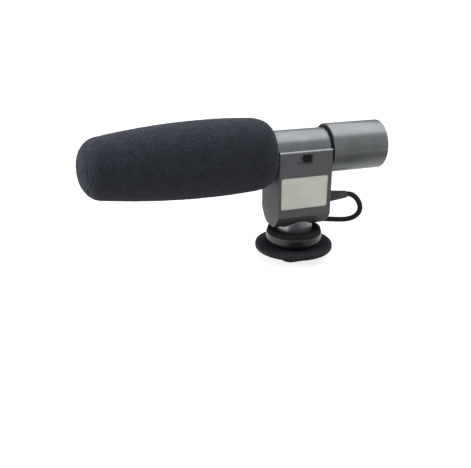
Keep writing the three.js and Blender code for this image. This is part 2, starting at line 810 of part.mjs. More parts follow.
function makeStem() {
  const column = join(
    uprightRod(postRadius, postBottom, neckBottom + overrun / 2, 0, 0, turnedSides / 2),
    uprightRod(neckRadius, neckBottom, cavityFloor, 0, 0, turnedSides));
  const housingGap = solidOf(new THREE.ExtrudeGeometry(housingSection(), {
    depth: 2 * neckRadius + 2 * overrun, bevelEnabled: false, curveSegments: 8,
  }).applyMatrix4(sectionToX).translate(-neckRadius - overrun, 0, -seatGap));
  const spigot = uprightRod(spigotRadius, neckBottom + overrun / 2, cavityFloor + spigotStandUp);
  const studBore = uprightRod(studRadius + seatGap, postBottom - overrun,
    studTop + seatGap + sleeveGap, 0, 0, tinySides);
  return cut(join(cut(column, housingGap), spigot), studBore);
}

function makeStemNut() {
  const bottom = cavityFloor + seatGap;
  const nut = uprightRod(nutRadius, bottom, bottom + nutThickness, 0, 0, 6);
  return cut(nut, uprightRod(spigotRadius + seatGap, bottom - overrun, bottom + nutThickness + overrun));
}

function makeFoot() {
  const geometry = new THREE.ExtrudeGeometry(roundedRectangle(footLength, footWidth, footCornerRadius),
    { depth: footThickness, bevelEnabled: false, curveSegments: 5 });
  const socket = uprightRod(studRadius + seatGap, footFloor, footThickness + overrun, 0, 0, tinySides);
  return cut(solidOf(geometry), socket);
}

function makeFootStud() {
  const bottom = footFloor + seatGap;
  const outline = points([
    [0, bottom], [studRadius, bottom], [studRadius, studTop - studRadius / 2],
    [studRadius * 0.7, studTop], [0, studTop],
  ]);
  return turnedUpright(outline, tinySides);
}

function makeLockWheel() {
  const postBore = postRadius + seatGap;
  const recessTop = padBottom + padThickness + seatGap;
  const bowl = [];
  const bowlSteps = 3;
  for (let i = 0; i <= bowlSteps; i += 1) {
    const angle = i / bowlSteps * Math.PI / 2;
    bowl.push([THREE.MathUtils.lerp(hubWaistRadius, hubBowlRadius, Math.sin(angle)),
      THREE.MathUtils.lerp(bowlTop, wheelTop, Math.cos(angle))]);
  }
  const outline = closedLoop([
    [postBore, padBottom], [padInnerRadius - seatGap, padBottom], [padInnerRadius - seatGap, recessTop],
    [padOuterRadius + seatGap, recessTop], [padOuterRadius + seatGap, padBottom],
    [wheelRadius - wheelEdgeBevel, padBottom], [wheelRadius, padBottom + wheelEdgeBevel],
    [wheelRadius, wheelTop - wheelEdgeBevel], [wheelRadius - wheelEdgeBevel, wheelTop],
    ...bowl,
    [hubCollarRadius, bowlTop + hubCollarBevel], [hubCollarRadius, rimTop - hubCollarBevel],
    [hubCollarRadius - hubCollarBevel, rimTop], [cupRadius, rimTop],
    [cupRadius, cupFloor], [postBore, cupFloor],
  ]);
  const knurl = new THREE.Shape();
  for (let i = 0; i < 2 * knurlCount; i += 1) {
    const angle = i * Math.PI / knurlCount;
    const reach = i % 2 === 0 ? wheelRadius : wheelRadius - knurlDepth;
    knurl[i === 0 ? 'moveTo' : 'lineTo'](reach * Math.cos(angle), reach * Math.sin(angle));
  }
  const knurled = new THREE.ExtrudeGeometry(knurl, { depth: rimTop, bevelEnabled: false });
  return turnedUpright(outline, knurlCount).intersect(solidOf(knurled));
}

function makeClampPad() {
  const outline = closedLoop([
    [padInnerRadius, padBottom], [padOuterRadius, padBottom],
    [padOuterRadius, padBottom + padThickness], [padInnerRadius, padBottom + padThickness],
  ]);
  return turnedUpright(outline, smallSides * 2);
}

function makeBoard() {
  const board = sidePlate(boardLength, boardHeight, plateCornerRadius, boardCentreX, boardCentreZ,
    boardNear, boardFar);
  const holes = boardScrewPlaces().map(([x, z]) => crosswiseRod(coverScrewRadius, coverScrewRadius,
    boardNear - overrun / 2, boardFar + overrun / 2, x, z, tinySides));
  return cut(board, ...holes);
}

function makeBoardScrew(x, z) {
  const shank = coverScrewRadius - sleeveGap;
  const seat = boardFar + seatGap;
  const head = crosswiseRod(boardScrewHeadRadius, boardScrewHeadRadius * 0.8, seat,
    seat + boardScrewHeadHeight, x, z, tinySides);
  return join(head, crosswiseRod(shank, shank, boardNear - snugGap, seat + snugGap, x, z, tinySides));
}

function makeCapacitor() {
  const near = boardFar + seatGap;
  return crosswiseRod(capacitorRadius, capacitorRadius, near, near + capacitorLength,
    boardCentreX, boardCentreZ + capacitorRadius / 2);
}

function makeChip() {
  const near = boardFar + seatGap;
  const bottom = boardBottom + seatGap;
  return block([boardCentreX - chipLength / 2, boardCentreX + chipLength / 2],
    [near, near + chipDepth], [bottom, bottom + boardHeight * chipShare]);
}

// The boot tapers outside the housing, with a neck through its wall and a collar inside.
function makeStrainRelief() {
  const collarFront = housingRear - housingWall - seatGap - reliefCollarThickness;
  const collarRear = collarFront + reliefCollarThickness;
  const outline = points([
    [0, collarFront], [reliefCollarRadius, collarFront], [reliefCollarRadius, collarRear],
    [reliefNeckRadius, collarRear], [reliefNeckRadius, reliefRoot], [reliefRootRadius, reliefRoot],
    [reliefTipRadius, reliefTip - reliefTipEdge], [reliefTipRadius - reliefTipEdge, reliefTip], [0, reliefTip],
  ]);
  const geometry = new THREE.LatheGeometry(outline, gripSides).applyMatrix4(lengthwise);
  return solidOf(geometry.translate(0, 0, reliefHeight));
}

// The lead's first stretch, from the boot's tip round its loop, behind the mount and down to the coil.
const firstStretch = [
  [25.25, 0, 25.5], [26.5, 0, 25.4], [28.6, 0.2, 24.3], [30.8, 0.7, 22.3], [32.5, 1.3, 19.8],
  [33.5, 2.2, 17], [33.6, 3.6, 14.3], [32.3, 5.2, 12], [29.7, 6.6, 10.8], [26.6, 7.8, 10.5],
  [23.4, 8.9, 10.6], [20.3, 10, 10.7], [17.3, 11.6, 10.5], [14.4, 13.8, 9.8], [11.7, 16.7, 8.6], [9.5, 20.4, 7],
  [8, 24.8, 5.1], [7.2, 29.6, 3.4], [6.9, 34.4, 2.3], [6.9, 37.6, 2], [6.9, 40.2, 2],
];

// The second stretch, from the coil's inner end up over its turns to the plug.
const secondStretch = [
  [15.19, 50.82, 2], [15.9, 51.79, 2.05], [17.4, 52.95, 2.4], [19.5, 53.5, 3], [21.9, 53.4, 3.9],
  [24.2, 52.6, 4.8], [26.2, 51.2, 5.6], [27.5, 49.4, 6.3], [27.7, 47.5, 6.7], [26.92, 45.85, 6.75],
];

function laidTube(route, steps, sides) {
  const curve = new THREE.CatmullRomCurve3(route.map((p) => new THREE.Vector3(...p)), false, 'centripetal');
  const section = new THREE.Shape();
  for (let k = 0; k < sides; k += 1) {
    const angle = (k + 0.5) * 2 * Math.PI / sides;
    const [x, y] = [cordRadius * Math.cos(angle), cordRadius * Math.sin(angle)];
    section[k === 0 ? 'moveTo' : 'lineTo'](x, y);
  }
  return solidOf(new THREE.ExtrudeGeometry(section, { steps, bevelEnabled: false, extrudePath: curve }));
}

// The coil lies in one layer: it starts at its outer end and winds inwards clockwise, seen from above.
function coilLine() {
  const steps = Math.round(coilTurns * coilStepsPerTurn);
  const line = [];
  for (let i = 0; i <= steps; i += 1) {
    const turned = i / steps * coilTurns;
    const angle = coilStartAngle - turned * 2 * Math.PI;
    const radius = coilOuterRadius - coilPitch * turned;
    line.push(new THREE.Vector3(coilCentreX + radius * Math.cos(angle),
      coilCentreY + radius * Math.sin(angle), laidHeight));
  }
  const headingAt = (angle) => new THREE.Vector3(Math.sin(angle), -Math.cos(angle), 0);
  const endAngle = coilStartAngle - coilTurns * 2 * Math.PI;
  line.unshift(line[0].clone().addScaledVector(headingAt(coilStartAngle), -2 * cordRadius));
  line.push(line.at(-1).clone().addScaledVector(headingAt(endAngle), 2 * cordRadius));
  return line;
}

function makeCoil() {
  const line = coilLine();
  console.log('least gap of the coil to itself:', leastGap(line, cordRadius, coilStepsPerTurn).toFixed(2));
  return solidOf(tubeOfRings(windingRings(line, cordRadius, coilSides, new THREE.Vector3(0, 0, 1))));
}

// The tie is a flat band round both turns of the coil where they lie side by side.
function makeTie() {
  const turnedAt = (coilStartAngle - tieAngle) / (2 * Math.PI);
  const outerTurn = coilOuterRadius - coilPitch * turnedAt;
  const innerTurn = outerTurn - coilPitch;
  const innerWidth = outerTurn - innerTurn + 2 * (cordRadius + 2 * seatGap);
  const innerHeight = 2 * (cordRadius + seatGap);
  const band = roundedRectangle(innerWidth + 2 * tieThickness, innerHeight + 2 * tieThickness,
    innerHeight / 2);
  const opening = roundedRectangle(innerWidth, innerHeight, innerHeight / 2 - tieThickness / 2);
  band.holes.push(opening);
  const geometry = new THREE.ExtrudeGeometry(band, { depth: tieWidth, bevelEnabled: false, curveSegments: 4 });
  geometry.translate((outerTurn + innerTurn) / 2, 0, -tieWidth / 2).applyMatrix4(upright);
  geometry.rotateZ(tieAngle).translate(coilCentreX, coilCentreY, laidHeight);
  return solidOf(geometry);
}

// The plug's pieces are turned about +X from its cable end, then laid along the second stretch's end.
const plugStart = new THREE.Vector3(...secondStretch.at(-1));
const plugHeading = new THREE.Vector3(-0.43, -0.9, 0).normalize();
const plugTurn = Math.atan2(plugHeading.y, plugHeading.x);

function plugPiece(outline, sides = gripSides) {
  const geometry = new THREE.LatheGeometry(points(outline), sides).applyMatrix4(lengthwise);
  geometry.rotateZ(plugTurn).translate(plugStart.x, plugStart.y, plugHeight);
  return solidOf(geometry);
}

const plugShellStart = plugReliefLength + 2 * seatGap;
const plugPinStart = plugShellStart + plugShellLength + seatGap;

function makePlugRelief() {
  const end = seatGap + plugReliefLength;
  return plugPiece([
    [0, seatGap], [cordRadius + sleeveGap, seatGap], [plugReliefRadius, end - plugReliefRadius / 2],
    [plugReliefRadius, end], [0, end],
  ]);
}

function makePlugShell() {
  const end = plugShellStart + plugShellLength;
  const outline = [[0, plugShellStart], [plugShellRadius - plugShellEdge, plugShellStart],
    [plugShellRadius, plugShellStart + plugShellEdge]];
  const ribPitch = plugShellLength / (plugGripRibs + 4);
  for (let i = 1; i <= plugGripRibs; i += 1) {
    const x = plugShellStart + (i + 0.5) * ribPitch;
    outline.push([plugShellRadius, x - ribPitch * 0.3], [plugShellRadius - plugGripDepth, x - ribPitch * 0.2],
      [plugShellRadius - plugGripDepth, x + ribPitch * 0.2], [plugShellRadius, x + ribPitch * 0.3]);
  }
  outline.push([plugShellRadius, end - plugShellEdge], [plugShellRadius - plugShellEdge, end], [0, end]);
  return plugPiece(outline);
}

function makePlugPin() {
  const shoulder = plugPinStart + plugPinCollarLength;
  const end = shoulder + plugPinLength;
  const tip = end - plugTipLength;
  return plugPiece([
    [0, plugPinStart], [plugPinCollarRadius, plugPinStart], [plugPinCollarRadius, shoulder],
    [plugPinRadius, shoulder], [plugPinRadius, tip], [plugWaistRadius, tip + plugTipLength * 0.3],
    [plugPinRadius, tip + plugTipLength * 0.55], [plugWaistRadius * 0.4, end], [0, end],
  ]);
}

const part = new THREE.Group();

function add(name, solid, material) {
  const { vertProperties, triVerts } = solid.getMesh();
  const geometry = new THREE.BufferGeometry();
  geometry.setAttribute('position', new THREE.Float32BufferAttribute(vertProperties, 3));
  geometry.setIndex(Array.from(triVerts));
  geometry.computeVertexNormals();
  const mesh = new THREE.Mesh(geometry, material);
  mesh.name = name;
  part.add(mesh);
}

// Microphone body
add('slotted_barrel', makeBarrel(), gunMetal);
add('nose_cap', makeNoseCap(), darkMetal);
add('capsule_holder', makeCapsuleHolder(), blackRubber);
add('capsule', makeCapsule(), brightSteel);
add('main_tube', makeMainTube(), gunMetal);
add('front_contact', makeFrontContact(), brass);
add('battery_sleeve', makeBatterySleeve(), blackPlastic);
add('battery_cell', makeCell(), cellJacket);
add('cap_seal', makeSeal(), blackRubber);

// Stem housing and what it holds
add('housing', makeHousing(), housingPlastic);
add('side_cover', makeCover(), housingPlastic);
coverScrewPlaces().forEach(([x, z], i) => add(`cover_screw_${i + 1}`, makeCoverScrew(x, z), darkMetal));
add('name_plate', makeNamePlate(), plateMetal);
add('switch_body', makeSwitchBody(), greyPlastic);
add('switch_knob', makeSwitchKnob(), blackPlastic);
add('circuit_board', makeBoard(), boardGreen);
boardScrewPlaces().forEach(([x, z], i) => add(`board_screw_${i + 1}`, makeBoardScrew(x, z), brightSteel));
add('output_capacitor', makeCapacitor(), darkMetal);
add('amplifier_chip', makeChip(), blackPlastic);
add('strain_relief', makeStrainRelief(), blackRubber);

// Shoe mount
add('mount_stem', makeStem(), darkMetal);
add('stem_nut', makeStemNut(), brightSteel);
add('shoe_foot', makeFoot(), darkMetal);
add('foot_stud', makeFootStud(), brightSteel);
add('clamp_pad', makeClampPad(), blackRubber);
add('lock_wheel', makeLockWheel(), blackPlastic);

// Battery cap and foam
add('battery_cap', makeBatteryCap(), gunMetal);
add('cap_contact', makeCapContact(), brass);
add('cap_spring', makeSpring(), brightSteel);
add('windscreen', makeWindscreen(), foamFinish);

// Lead
add('cord_first_stretch', laidTube(firstStretch, 18, 8), blackRubber);
add('cord_coil', makeCoil(), blackRubber);
add('cord_second_stretch', laidTube(secondStretch, 5, 8), blackRubber);
add('cord_tie', makeTie(), blackRubber);
add('plug_relief', makePlugRelief(), blackRubber);
add('plug_shell', makePlugShell(), blackPlastic);
add('plug_pin', makePlugPin(), brightSteel);

export default part;
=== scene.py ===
"""An on-camera microphone with a foam windscreen, dressed for a plain studio, in metres."""
import json
import math

import bpy
from mathutils import Matrix, Vector

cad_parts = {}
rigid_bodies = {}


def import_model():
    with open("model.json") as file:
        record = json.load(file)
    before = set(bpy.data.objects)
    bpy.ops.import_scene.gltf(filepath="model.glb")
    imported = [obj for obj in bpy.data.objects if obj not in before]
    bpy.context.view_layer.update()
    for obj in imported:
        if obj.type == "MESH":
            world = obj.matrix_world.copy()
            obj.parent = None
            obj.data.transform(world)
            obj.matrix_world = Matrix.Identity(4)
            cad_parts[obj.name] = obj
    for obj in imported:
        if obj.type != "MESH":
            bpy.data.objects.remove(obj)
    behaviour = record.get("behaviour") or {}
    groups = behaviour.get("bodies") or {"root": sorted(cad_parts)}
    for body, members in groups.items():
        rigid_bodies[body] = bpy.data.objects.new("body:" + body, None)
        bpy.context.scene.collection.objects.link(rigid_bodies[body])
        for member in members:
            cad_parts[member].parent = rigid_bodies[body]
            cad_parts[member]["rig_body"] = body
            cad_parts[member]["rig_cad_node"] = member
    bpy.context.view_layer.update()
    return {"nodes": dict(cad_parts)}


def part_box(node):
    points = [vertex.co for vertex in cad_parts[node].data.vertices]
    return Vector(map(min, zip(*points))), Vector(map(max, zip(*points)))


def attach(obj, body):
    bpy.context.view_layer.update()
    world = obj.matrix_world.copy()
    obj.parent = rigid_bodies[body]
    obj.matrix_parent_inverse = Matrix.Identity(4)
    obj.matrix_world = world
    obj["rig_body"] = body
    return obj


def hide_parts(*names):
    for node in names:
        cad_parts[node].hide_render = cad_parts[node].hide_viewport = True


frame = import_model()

bl_info = {
    "name": "On-camera microphone",
    "version": (1, 0, 0),
    "blender": (4, 5, 0),
    "location": "View3D > Sidebar > Microphone",
    "description": "Builds the finished look of an on-camera microphone round its CAD frame",
    "category": "Add Mesh",
}

WHEEL_LOW, WHEEL_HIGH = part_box("lock_wheel")
FOAM_LOW, FOAM_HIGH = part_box("windscreen")
FOAM_TIP, FOAM_REAR = FOAM_LOW.x, FOAM_HIGH.x
CAP_LOW, CAP_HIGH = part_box("battery_cap")
PLATE_LOW, PLATE_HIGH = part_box("name_plate")
KNOB_LOW, KNOB_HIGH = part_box("switch_knob")
BARREL_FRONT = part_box("slotted_barrel")[0].x
FOOT_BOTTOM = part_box("shoe_foot")[0].z
MM = 0.001

# A line to turn an outline about: a point on it, its direction, and a direction square to it

AXIS_HEIGHT = (CAP_LOW.z + CAP_HIGH.z) / 2
ORIGIN, X, Y, Z = (Vector(v) for v in ((0, 0, 0), (1, 0, 0), (0, 1, 0), (0, 0, 1)))
TUBE_AXIS = (Z * AXIS_HEIGHT, X, Z)
MOUNT_AXIS = (ORIGIN, Z, X)
SCREW_AXIS = (ORIGIN, Y, X)


def shade(red, green, blue):
    """A screen colour, 0 to 255, as the linear colour that a shader takes, by the standard curve."""
    shares = [value / 255 for value in (red, green, blue)]
    return tuple(v / 12.92 if v <= 0.04045 else ((v + 0.055) / 1.055) ** 2.4 for v in shares)


class MicrophoneSizes(bpy.types.PropertyGroup):
    """Sizes of the dressed pieces that a user would change."""
    foam_sag: bpy.props.FloatProperty(
        name="Foam sag", description="How far the foam's tip hangs below the microphone's axis",
        default=0.5 * MM, min=0, max=1.5 * MM, unit='LENGTH')
    foam_grain: bpy.props.FloatProperty(
        name="Foam grain", description="Height of the foam's cells on its skin",
        default=0.14 * MM, min=0, max=0.5 * MM, unit='LENGTH')
    edge_round: bpy.props.FloatProperty(
        name="Edge round", description="Rounding of a dressed piece's edges, of which each takes its share",
        default=0.1 * MM, min=0, max=0.3 * MM, unit='LENGTH')
    cord_diameter: bpy.props.FloatProperty(
        name="Lead diameter", description="Outside diameter of the lead",
        default=2.4 * MM, min=1 * MM, max=4 * MM, unit='LENGTH')
    cord_length: bpy.props.FloatProperty(
        name="Lead length", description="Length of the lead from its strain relief to its plug",
        default=0.178, min=0.1, max=1, unit='LENGTH')
    knurl_depth: bpy.props.FloatProperty(
        name="Knurl depth", description="Depth of the teeth round the locking wheel",
        default=0.35 * MM, min=0, max=0.6 * MM, unit='LENGTH')
    plate_border: bpy.props.FloatProperty(
        name="Plate border", description="Width of the raised border round the bare name plate",
        default=0.45 * MM, min=0.1 * MM, max=2 * MM, unit='LENGTH')
    lens: bpy.props.FloatProperty(
        name="Lens", description="Focal length of the studio camera on a 36 mm sensor",
        default=49.68, min=10, max=200, unit='CAMERA')


class MicrophoneColours(bpy.types.PropertyGroup):
    """Colours of the microphone's finishes."""
    foam: bpy.props.FloatVectorProperty(
        name="Foam", description="Open-cell foam", subtype='COLOR', size=3, min=0, max=1,
        default=shade(42, 45, 53))
    gun_metal: bpy.props.FloatVectorProperty(
        name="Gun metal", description="Tube, slotted barrel and battery cap", subtype='COLOR', size=3,
        min=0, max=1, default=shade(120, 123, 125))
    housing: bpy.props.FloatVectorProperty(
        name="Housing", description="Moulded stem housing and its side cover", subtype='COLOR', size=3,
        min=0, max=1, default=shade(98, 100, 103))
    mount: bpy.props.FloatVectorProperty(
        name="Mount", description="Polished bowl of the locking wheel", subtype='COLOR', size=3,
        min=0, max=1, default=shade(20, 22, 27))
    rubber: bpy.props.FloatVectorProperty(
        name="Rubber", description="Lead, its tie, the clamp pad and the seal", subtype='COLOR', size=3,
        min=0, max=1, default=shade(40, 41, 41))
    plate: bpy.props.FloatVectorProperty(
        name="Plate", description="Bare name plate", subtype='COLOR', size=3, min=0, max=1,
        default=shade(233, 234, 223))


def sizes():
    return bpy.context.scene.microphone_sizes


def colours():
    return bpy.context.scene.microphone_colours


# Modelling helpers

MERGE = 0.002 * MM       # points of a turned piece this close are one
CAD_MERGE = 0.004 * MM   # and so are points of a copied CAD node
FLAT_ANGLE = 0.6         # faces of a copied node that turn by less, in degrees, are one
SHARP_ANGLE = 32         # edges that turn by more, in degrees, are rounded or stay sharp
NEAR = 0.1 * MM          # places this close are level with each other


def let_go():
    """Leaves edit mode and selects nothing."""
    if bpy.context.object and bpy.context.object.mode != 'OBJECT':
        bpy.ops.object.mode_set(mode='OBJECT')
    bpy.ops.object.select_all(action='DESELECT')


def take(piece):
    """Selects one piece alone and makes it active."""
    let_go()
    piece.select_set(True)
    bpy.context.view_layer.objects.active = piece


def settle(piece):
    """Puts a finished piece's place in its mesh, with its object at the origin."""
    take(piece)
    bpy.ops.object.transform_apply(location=True, rotation=True, scale=True)


def apply_modifiers(piece):
    take(piece)
    for modifier in list(piece.modifiers):
        bpy.ops.object.modifier_apply(modifier=modifier.name)


def smooth(piece, degrees=SHARP_ANGLE):
    """Shades a piece smooth, apart from the edges that turn by more than an angle."""
    take(piece)
    bpy.ops.object.shade_smooth_by_angle(angle=math.radians(degrees))


def copied(piece, name):
    """A copy of a piece, with its own mesh."""
    copy = piece.copy()
    copy.data = piece.data.copy()
    copy.name = name
    bpy.context.scene.collection.objects.link(copy)
    return copy


def block(name, centre, size):
    """A block to cut with or to shape further."""
    let_go()
    bpy.ops.mesh.primitive_cube_add(size=1, location=centre)
    piece = bpy.context.object
    piece.name = name
    piece.scale = size
    settle(piece)
    return piece


def in_metres(outline):
    return [(radius * MM, place * MM) for radius, place in outline]


def turned(name, outline, steps, about=TUBE_AXIS):
    """Turns an outline of (radius, place along the axis), in metres, into a closed piece."""
    let_go()
    centre, along, across = about
    spots = [centre + along * place + across * radius for radius, place in outline]
    bpy.ops.mesh.primitive_plane_add(size=MM, location=spots[0])
    piece = bpy.context.object
    piece.name = name
    settle(piece)
    bpy.ops.object.mode_set(mode='EDIT')
    bpy.ops.mesh.select_all(action='SELECT')
    bpy.ops.mesh.merge(type='CENTER')
    for before, after in zip(spots, spots[1:]):
        bpy.ops.mesh.extrude_region_move(TRANSFORM_OT_translate={"value": after - before})
    bpy.ops.mesh.select_all(action='SELECT')
    bpy.ops.mesh.spin(steps=steps, angle=2 * math.pi, center=centre, axis=along)
    bpy.ops.mesh.select_all(action='SELECT')
    bpy.ops.mesh.remove_doubles(threshold=MERGE)
    bpy.ops.mesh.normals_make_consistent(inside=False)
    bpy.ops.object.mode_set(mode='OBJECT')
    return piece


def round_edges(piece, width, degrees=SHARP_ANGLE):
    """Rounds every edge that turns by more than an angle."""
    if width > 0:
        bevel = piece.modifiers.new("Edge round", 'BEVEL')
        bevel.width = width
        bevel.segments = 2
        bevel.limit_method = 'ANGLE'
        bevel.angle_limit = math.radians(degrees)
        apply_modifiers(piece)


def select_none(piece):
    """Deselects all of a piece's mesh."""
    for item in (*piece.data.vertices, *piece.data.edges, *piece.data.polygons):
        item.select = False


def bevel_lines(piece, width, segments, chosen):
    """Rounds the edges that a test of their two ends chooses."""
    take(piece)
    select_none(piece)
    for line in piece.data.edges:
        line.select = chosen(*(piece.data.vertices[i].co for i in line.vertices))
    bpy.ops.object.mode_set(mode='EDIT')
    bpy.ops.mesh.bevel(offset=width, segments=segments, affect='EDGES')
    bpy.ops.object.mode_set(mode='OBJECT')


def paint(piece, *names):
    """Gives a piece the finishes named. Its faces take the first, until they say otherwise."""
    piece.data.materials.clear()
    for name in names:
        piece.data.materials.append(finish_of(name))


def dressed(node, finish, body, rounding=1.0):
    """A copy of a CAD node, merged, rounded and smoothed, which then stands for it. The rounding is its
    share of the user's edge round."""
    piece = copied(frame["nodes"][node], node + "_dressed")
    piece.parent = None
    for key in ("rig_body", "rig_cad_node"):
        if key in piece:
            del piece[key]
    take(piece)
    bpy.ops.object.mode_set(mode='EDIT')
    bpy.ops.mesh.select_all(action='SELECT')
    bpy.ops.mesh.remove_doubles(threshold=CAD_MERGE)
    bpy.ops.mesh.dissolve_limited(angle_limit=math.radians(FLAT_ANGLE))
    bpy.ops.object.mode_set(mode='OBJECT')
    round_edges(piece, sizes().edge_round * rounding)
    smooth(piece)
    paint(piece, finish)
    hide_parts(node)
    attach(piece, body)
    return piece


# Finishes

PATTERN_SPREAD = (0.3, 0.7)    # a noise pattern seldom leaves these values
TINT_STOPS = (0.35, 0.65)      # the pattern's values at which a tint reaches its two colours


def blank_finish(name):
    """A new material, with its node tree and its Principled shader."""
    finish = bpy.data.materials.new(name)
    finish.use_nodes = True
    tree = finish.node_tree
    return finish, tree, tree.nodes["Principled BSDF"]


def fill(node, values):
    """Sets a node's sockets, by name, to plain values."""
    for name, value in values.items():
        node.inputs[name].default_value = value


def new_node(tree, kind, values=None):
    """A new node, with plain values on some sockets."""
    node = tree.nodes.new("ShaderNode" + kind)
    fill(node, values or {})
    return node


def scaled(colour, share):
    return tuple(min(1, v * share) for v in colour)


def grain_at(tree, scale, detail=2.0, stretch=(1, 1, 1), kind="TexNoise"):
    """A noise or cell pattern on the piece's own coordinates, with `scale` features to the metre."""
    coordinates = new_node(tree, "TexCoord")
    mapping = new_node(tree, "Mapping", {"Scale": stretch})
    tree.links.new(coordinates.outputs["Object"], mapping.inputs["Vector"])
    pattern = new_node(tree, kind, {"Scale": scale})
    if kind == "TexNoise":
        fill(pattern, {"Detail": detail})
    tree.links.new(mapping.outputs["Vector"], pattern.inputs["Vector"])
    return pattern


def mapped(tree, value, limits, levels):
    """Follows a value, from the first level at its first limit to the second at its second."""
    names = ("From Min", "From Max", "To Min", "To Max")
    ramp = new_node(tree, "MapRange", dict(zip(names, (*limits, *levels))))
    tree.links.new(value, ramp.inputs["Value"])
    return ramp.outputs["Result"]


def tint(tree, shader, pattern, colour, low, high):
    """Colours a shader by a pattern: `low` times a colour where it is low, and `high` times where high."""
    ramp = new_node(tree, "ValToRGB")
    for stop, place, share in zip(ramp.color_ramp.elements, TINT_STOPS, (low, high)):
        stop.position = place
        stop.color = (*scaled(colour, share), 1)
    tree.links.new(pattern.outputs[0], ramp.inputs["Fac"])
    tree.links.new(ramp.outputs["Color"], shader.inputs["Base Color"])


def roughen(tree, shader, pattern, low, high):
    """Spreads a shader's roughness by a pattern, from low to high."""
    spread = mapped(tree, pattern.outputs[0], PATTERN_SPREAD, (low, high))
    tree.links.new(spread, shader.inputs["Roughness"])


def relief(tree, shader, *layers):
    """Stacks bumps on a shader. Each layer is (pattern, height in metres, strength)."""
    last = None
    for pattern, height, strength in layers:
        bump = new_node(tree, "Bump", {"Distance": height, "Strength": strength})
        tree.links.new(pattern.outputs[0], bump.inputs["Height"])
        if last:
            tree.links.new(last.outputs["Normal"], bump.inputs["Normal"])
        last = bump
    tree.links.new(last.outputs["Normal"], shader.inputs["Normal"])


def foam_finish(name, colour):
    """Open-cell foam: fine and broad lumps of light and dark over round cells, with a faint sheen."""
    finish, tree, shader = blank_finish(name)
    cells = grain_at(tree, 1500, kind="TexVoronoi")
    fine = grain_at(tree, 2600, detail=3)
    broad = grain_at(tree, 260, detail=4)
    mix = new_node(tree, "Mix", {"Factor": 0.45})
    tree.links.new(fine.outputs[0], mix.inputs["A"])
    tree.links.new(broad.outputs[0], mix.inputs["B"])
    tint(tree, shader, mix, colour, 0.62, 1.38)
    fill(shader, {"Roughness": 0.95, "Specular IOR Level": 0.2, "Sheen Weight": 0.25,
                  "Sheen Roughness": 0.6, "Sheen Tint": (*shade(150, 155, 165), 1)})
    relief(tree, shader, (broad, 0.5 * MM, 0.3), (cells, 0.5 * MM, 0.7), (fine, 0.3 * MM, 0.55))
    return finish


def metal_finish(name, colour, roughness, metallic, stretch=(0.12, 1, 1)):
    """Satin metal, faintly clouded, with fine lines drawn along the axes where `stretch` is small."""
    finish, tree, shader = blank_finish(name)
    drawn = grain_at(tree, 2200, detail=3, stretch=stretch)
    cloudy = grain_at(tree, 120, detail=4)
    tint(tree, shader, cloudy, colour, 0.9, 1.1)
    roughen(tree, shader, drawn, roughness - 0.03, roughness + 0.05)
    fill(shader, {"Metallic": metallic})
    relief(tree, shader, (drawn, 0.02 * MM, 0.2))
    return finish


def moulded_finish(name, colour, roughness, grain=2400, height=0.05, gloss=0.4, coat=0):
    """Moulded plastic: a spark-eroded grain, its height in millimetres, with slightly uneven gloss."""
    finish, tree, shader = blank_finish(name)
    eroded = grain_at(tree, grain)
    cloudy = grain_at(tree, 90, detail=3)
    tint(tree, shader, cloudy, colour, 0.93, 1.08)
    roughen(tree, shader, cloudy, roughness - 0.05, roughness + 0.06)
    fill(shader, {"Specular IOR Level": gloss, "Coat Weight": coat, "Coat Roughness": 0.2})
    relief(tree, shader, (eroded, height * MM, 0.5))
    return finish


def painted_shade_housing_finish(name, colour):
    """Moulded plastic with painted shade: faces that look down are darkened, standing for the shade under
    the housing.
    """
    finish = moulded_finish(name, colour, 0.5, gloss=0.3)
    tree = finish.node_tree
    base = tree.nodes["Principled BSDF"].inputs["Base Color"]
    unshaded_colour = base.links[0].from_socket
    # Painted shade: the colour falls to 0.3 of itself as a face turns to look down.
    surface = new_node(tree, "NewGeometry")
    split = new_node(tree, "SeparateXYZ")
    tree.links.new(surface.outputs["Normal"], split.inputs[0])
    under = mapped(tree, split.outputs["Z"], (-0.1, -0.75), (0, 1))
    mix = new_node(tree, "Mix")
    mix.data_type = 'RGBA'
    mix.inputs["B"].default_value = (*scaled(colour, 0.3), 1)
    tree.links.new(under, mix.inputs["Factor"])
    tree.links.new(unshaded_colour, mix.inputs["A"])
    tree.links.new(mix.outputs["Result"], base)
    return finish


def rubber_finish(name, colour):
    """Dull rubber, with a fine skin and a slightly uneven bloom."""
    finish, tree, shader = blank_finish(name)
    skin = grain_at(tree, 1800, detail=3)
    bloom = grain_at(tree, 150, detail=4)
    tint(tree, shader, bloom, colour, 0.85, 1.2)
    roughen(tree, shader, skin, 0.42, 0.6)
    fill(shader, {"Specular IOR Level": 0.1})
    relief(tree, shader, (skin, 0.04 * MM, 0.4))
    return finish


def plate_finish(name, colour):
    """Fine brushed plate: short strokes along X, with a soft sheen across them."""
    finish, tree, shader = blank_finish(name)
    strokes = grain_at(tree, 3200, detail=3, stretch=(0.05, 1, 1))
    cloudy = grain_at(tree, 240, detail=3, stretch=(0.3, 1, 1))
    tint(tree, shader, cloudy, colour, 0.94, 1.05)
    roughen(tree, shader, strokes, 0.32, 0.5)
    fill(shader, {"Metallic": 0.15})
    relief(tree, shader, (strokes, 0.02 * MM, 0.5))
    return finish


def cloth_finish(name, colour):
    """Fine woven screen behind the slots: each cell is light in its middle and dark at its edge."""
    finish, tree, shader = blank_finish(name)
    weave = grain_at(tree, 2400, kind="TexVoronoi")
    tint(tree, shader, weave, colour, 1.4, 0.5)
    fill(shader, {"Roughness": 0.9})
    relief(tree, shader, (weave, 0.2 * MM, 0.6))
    return finish


FINISHES = {}


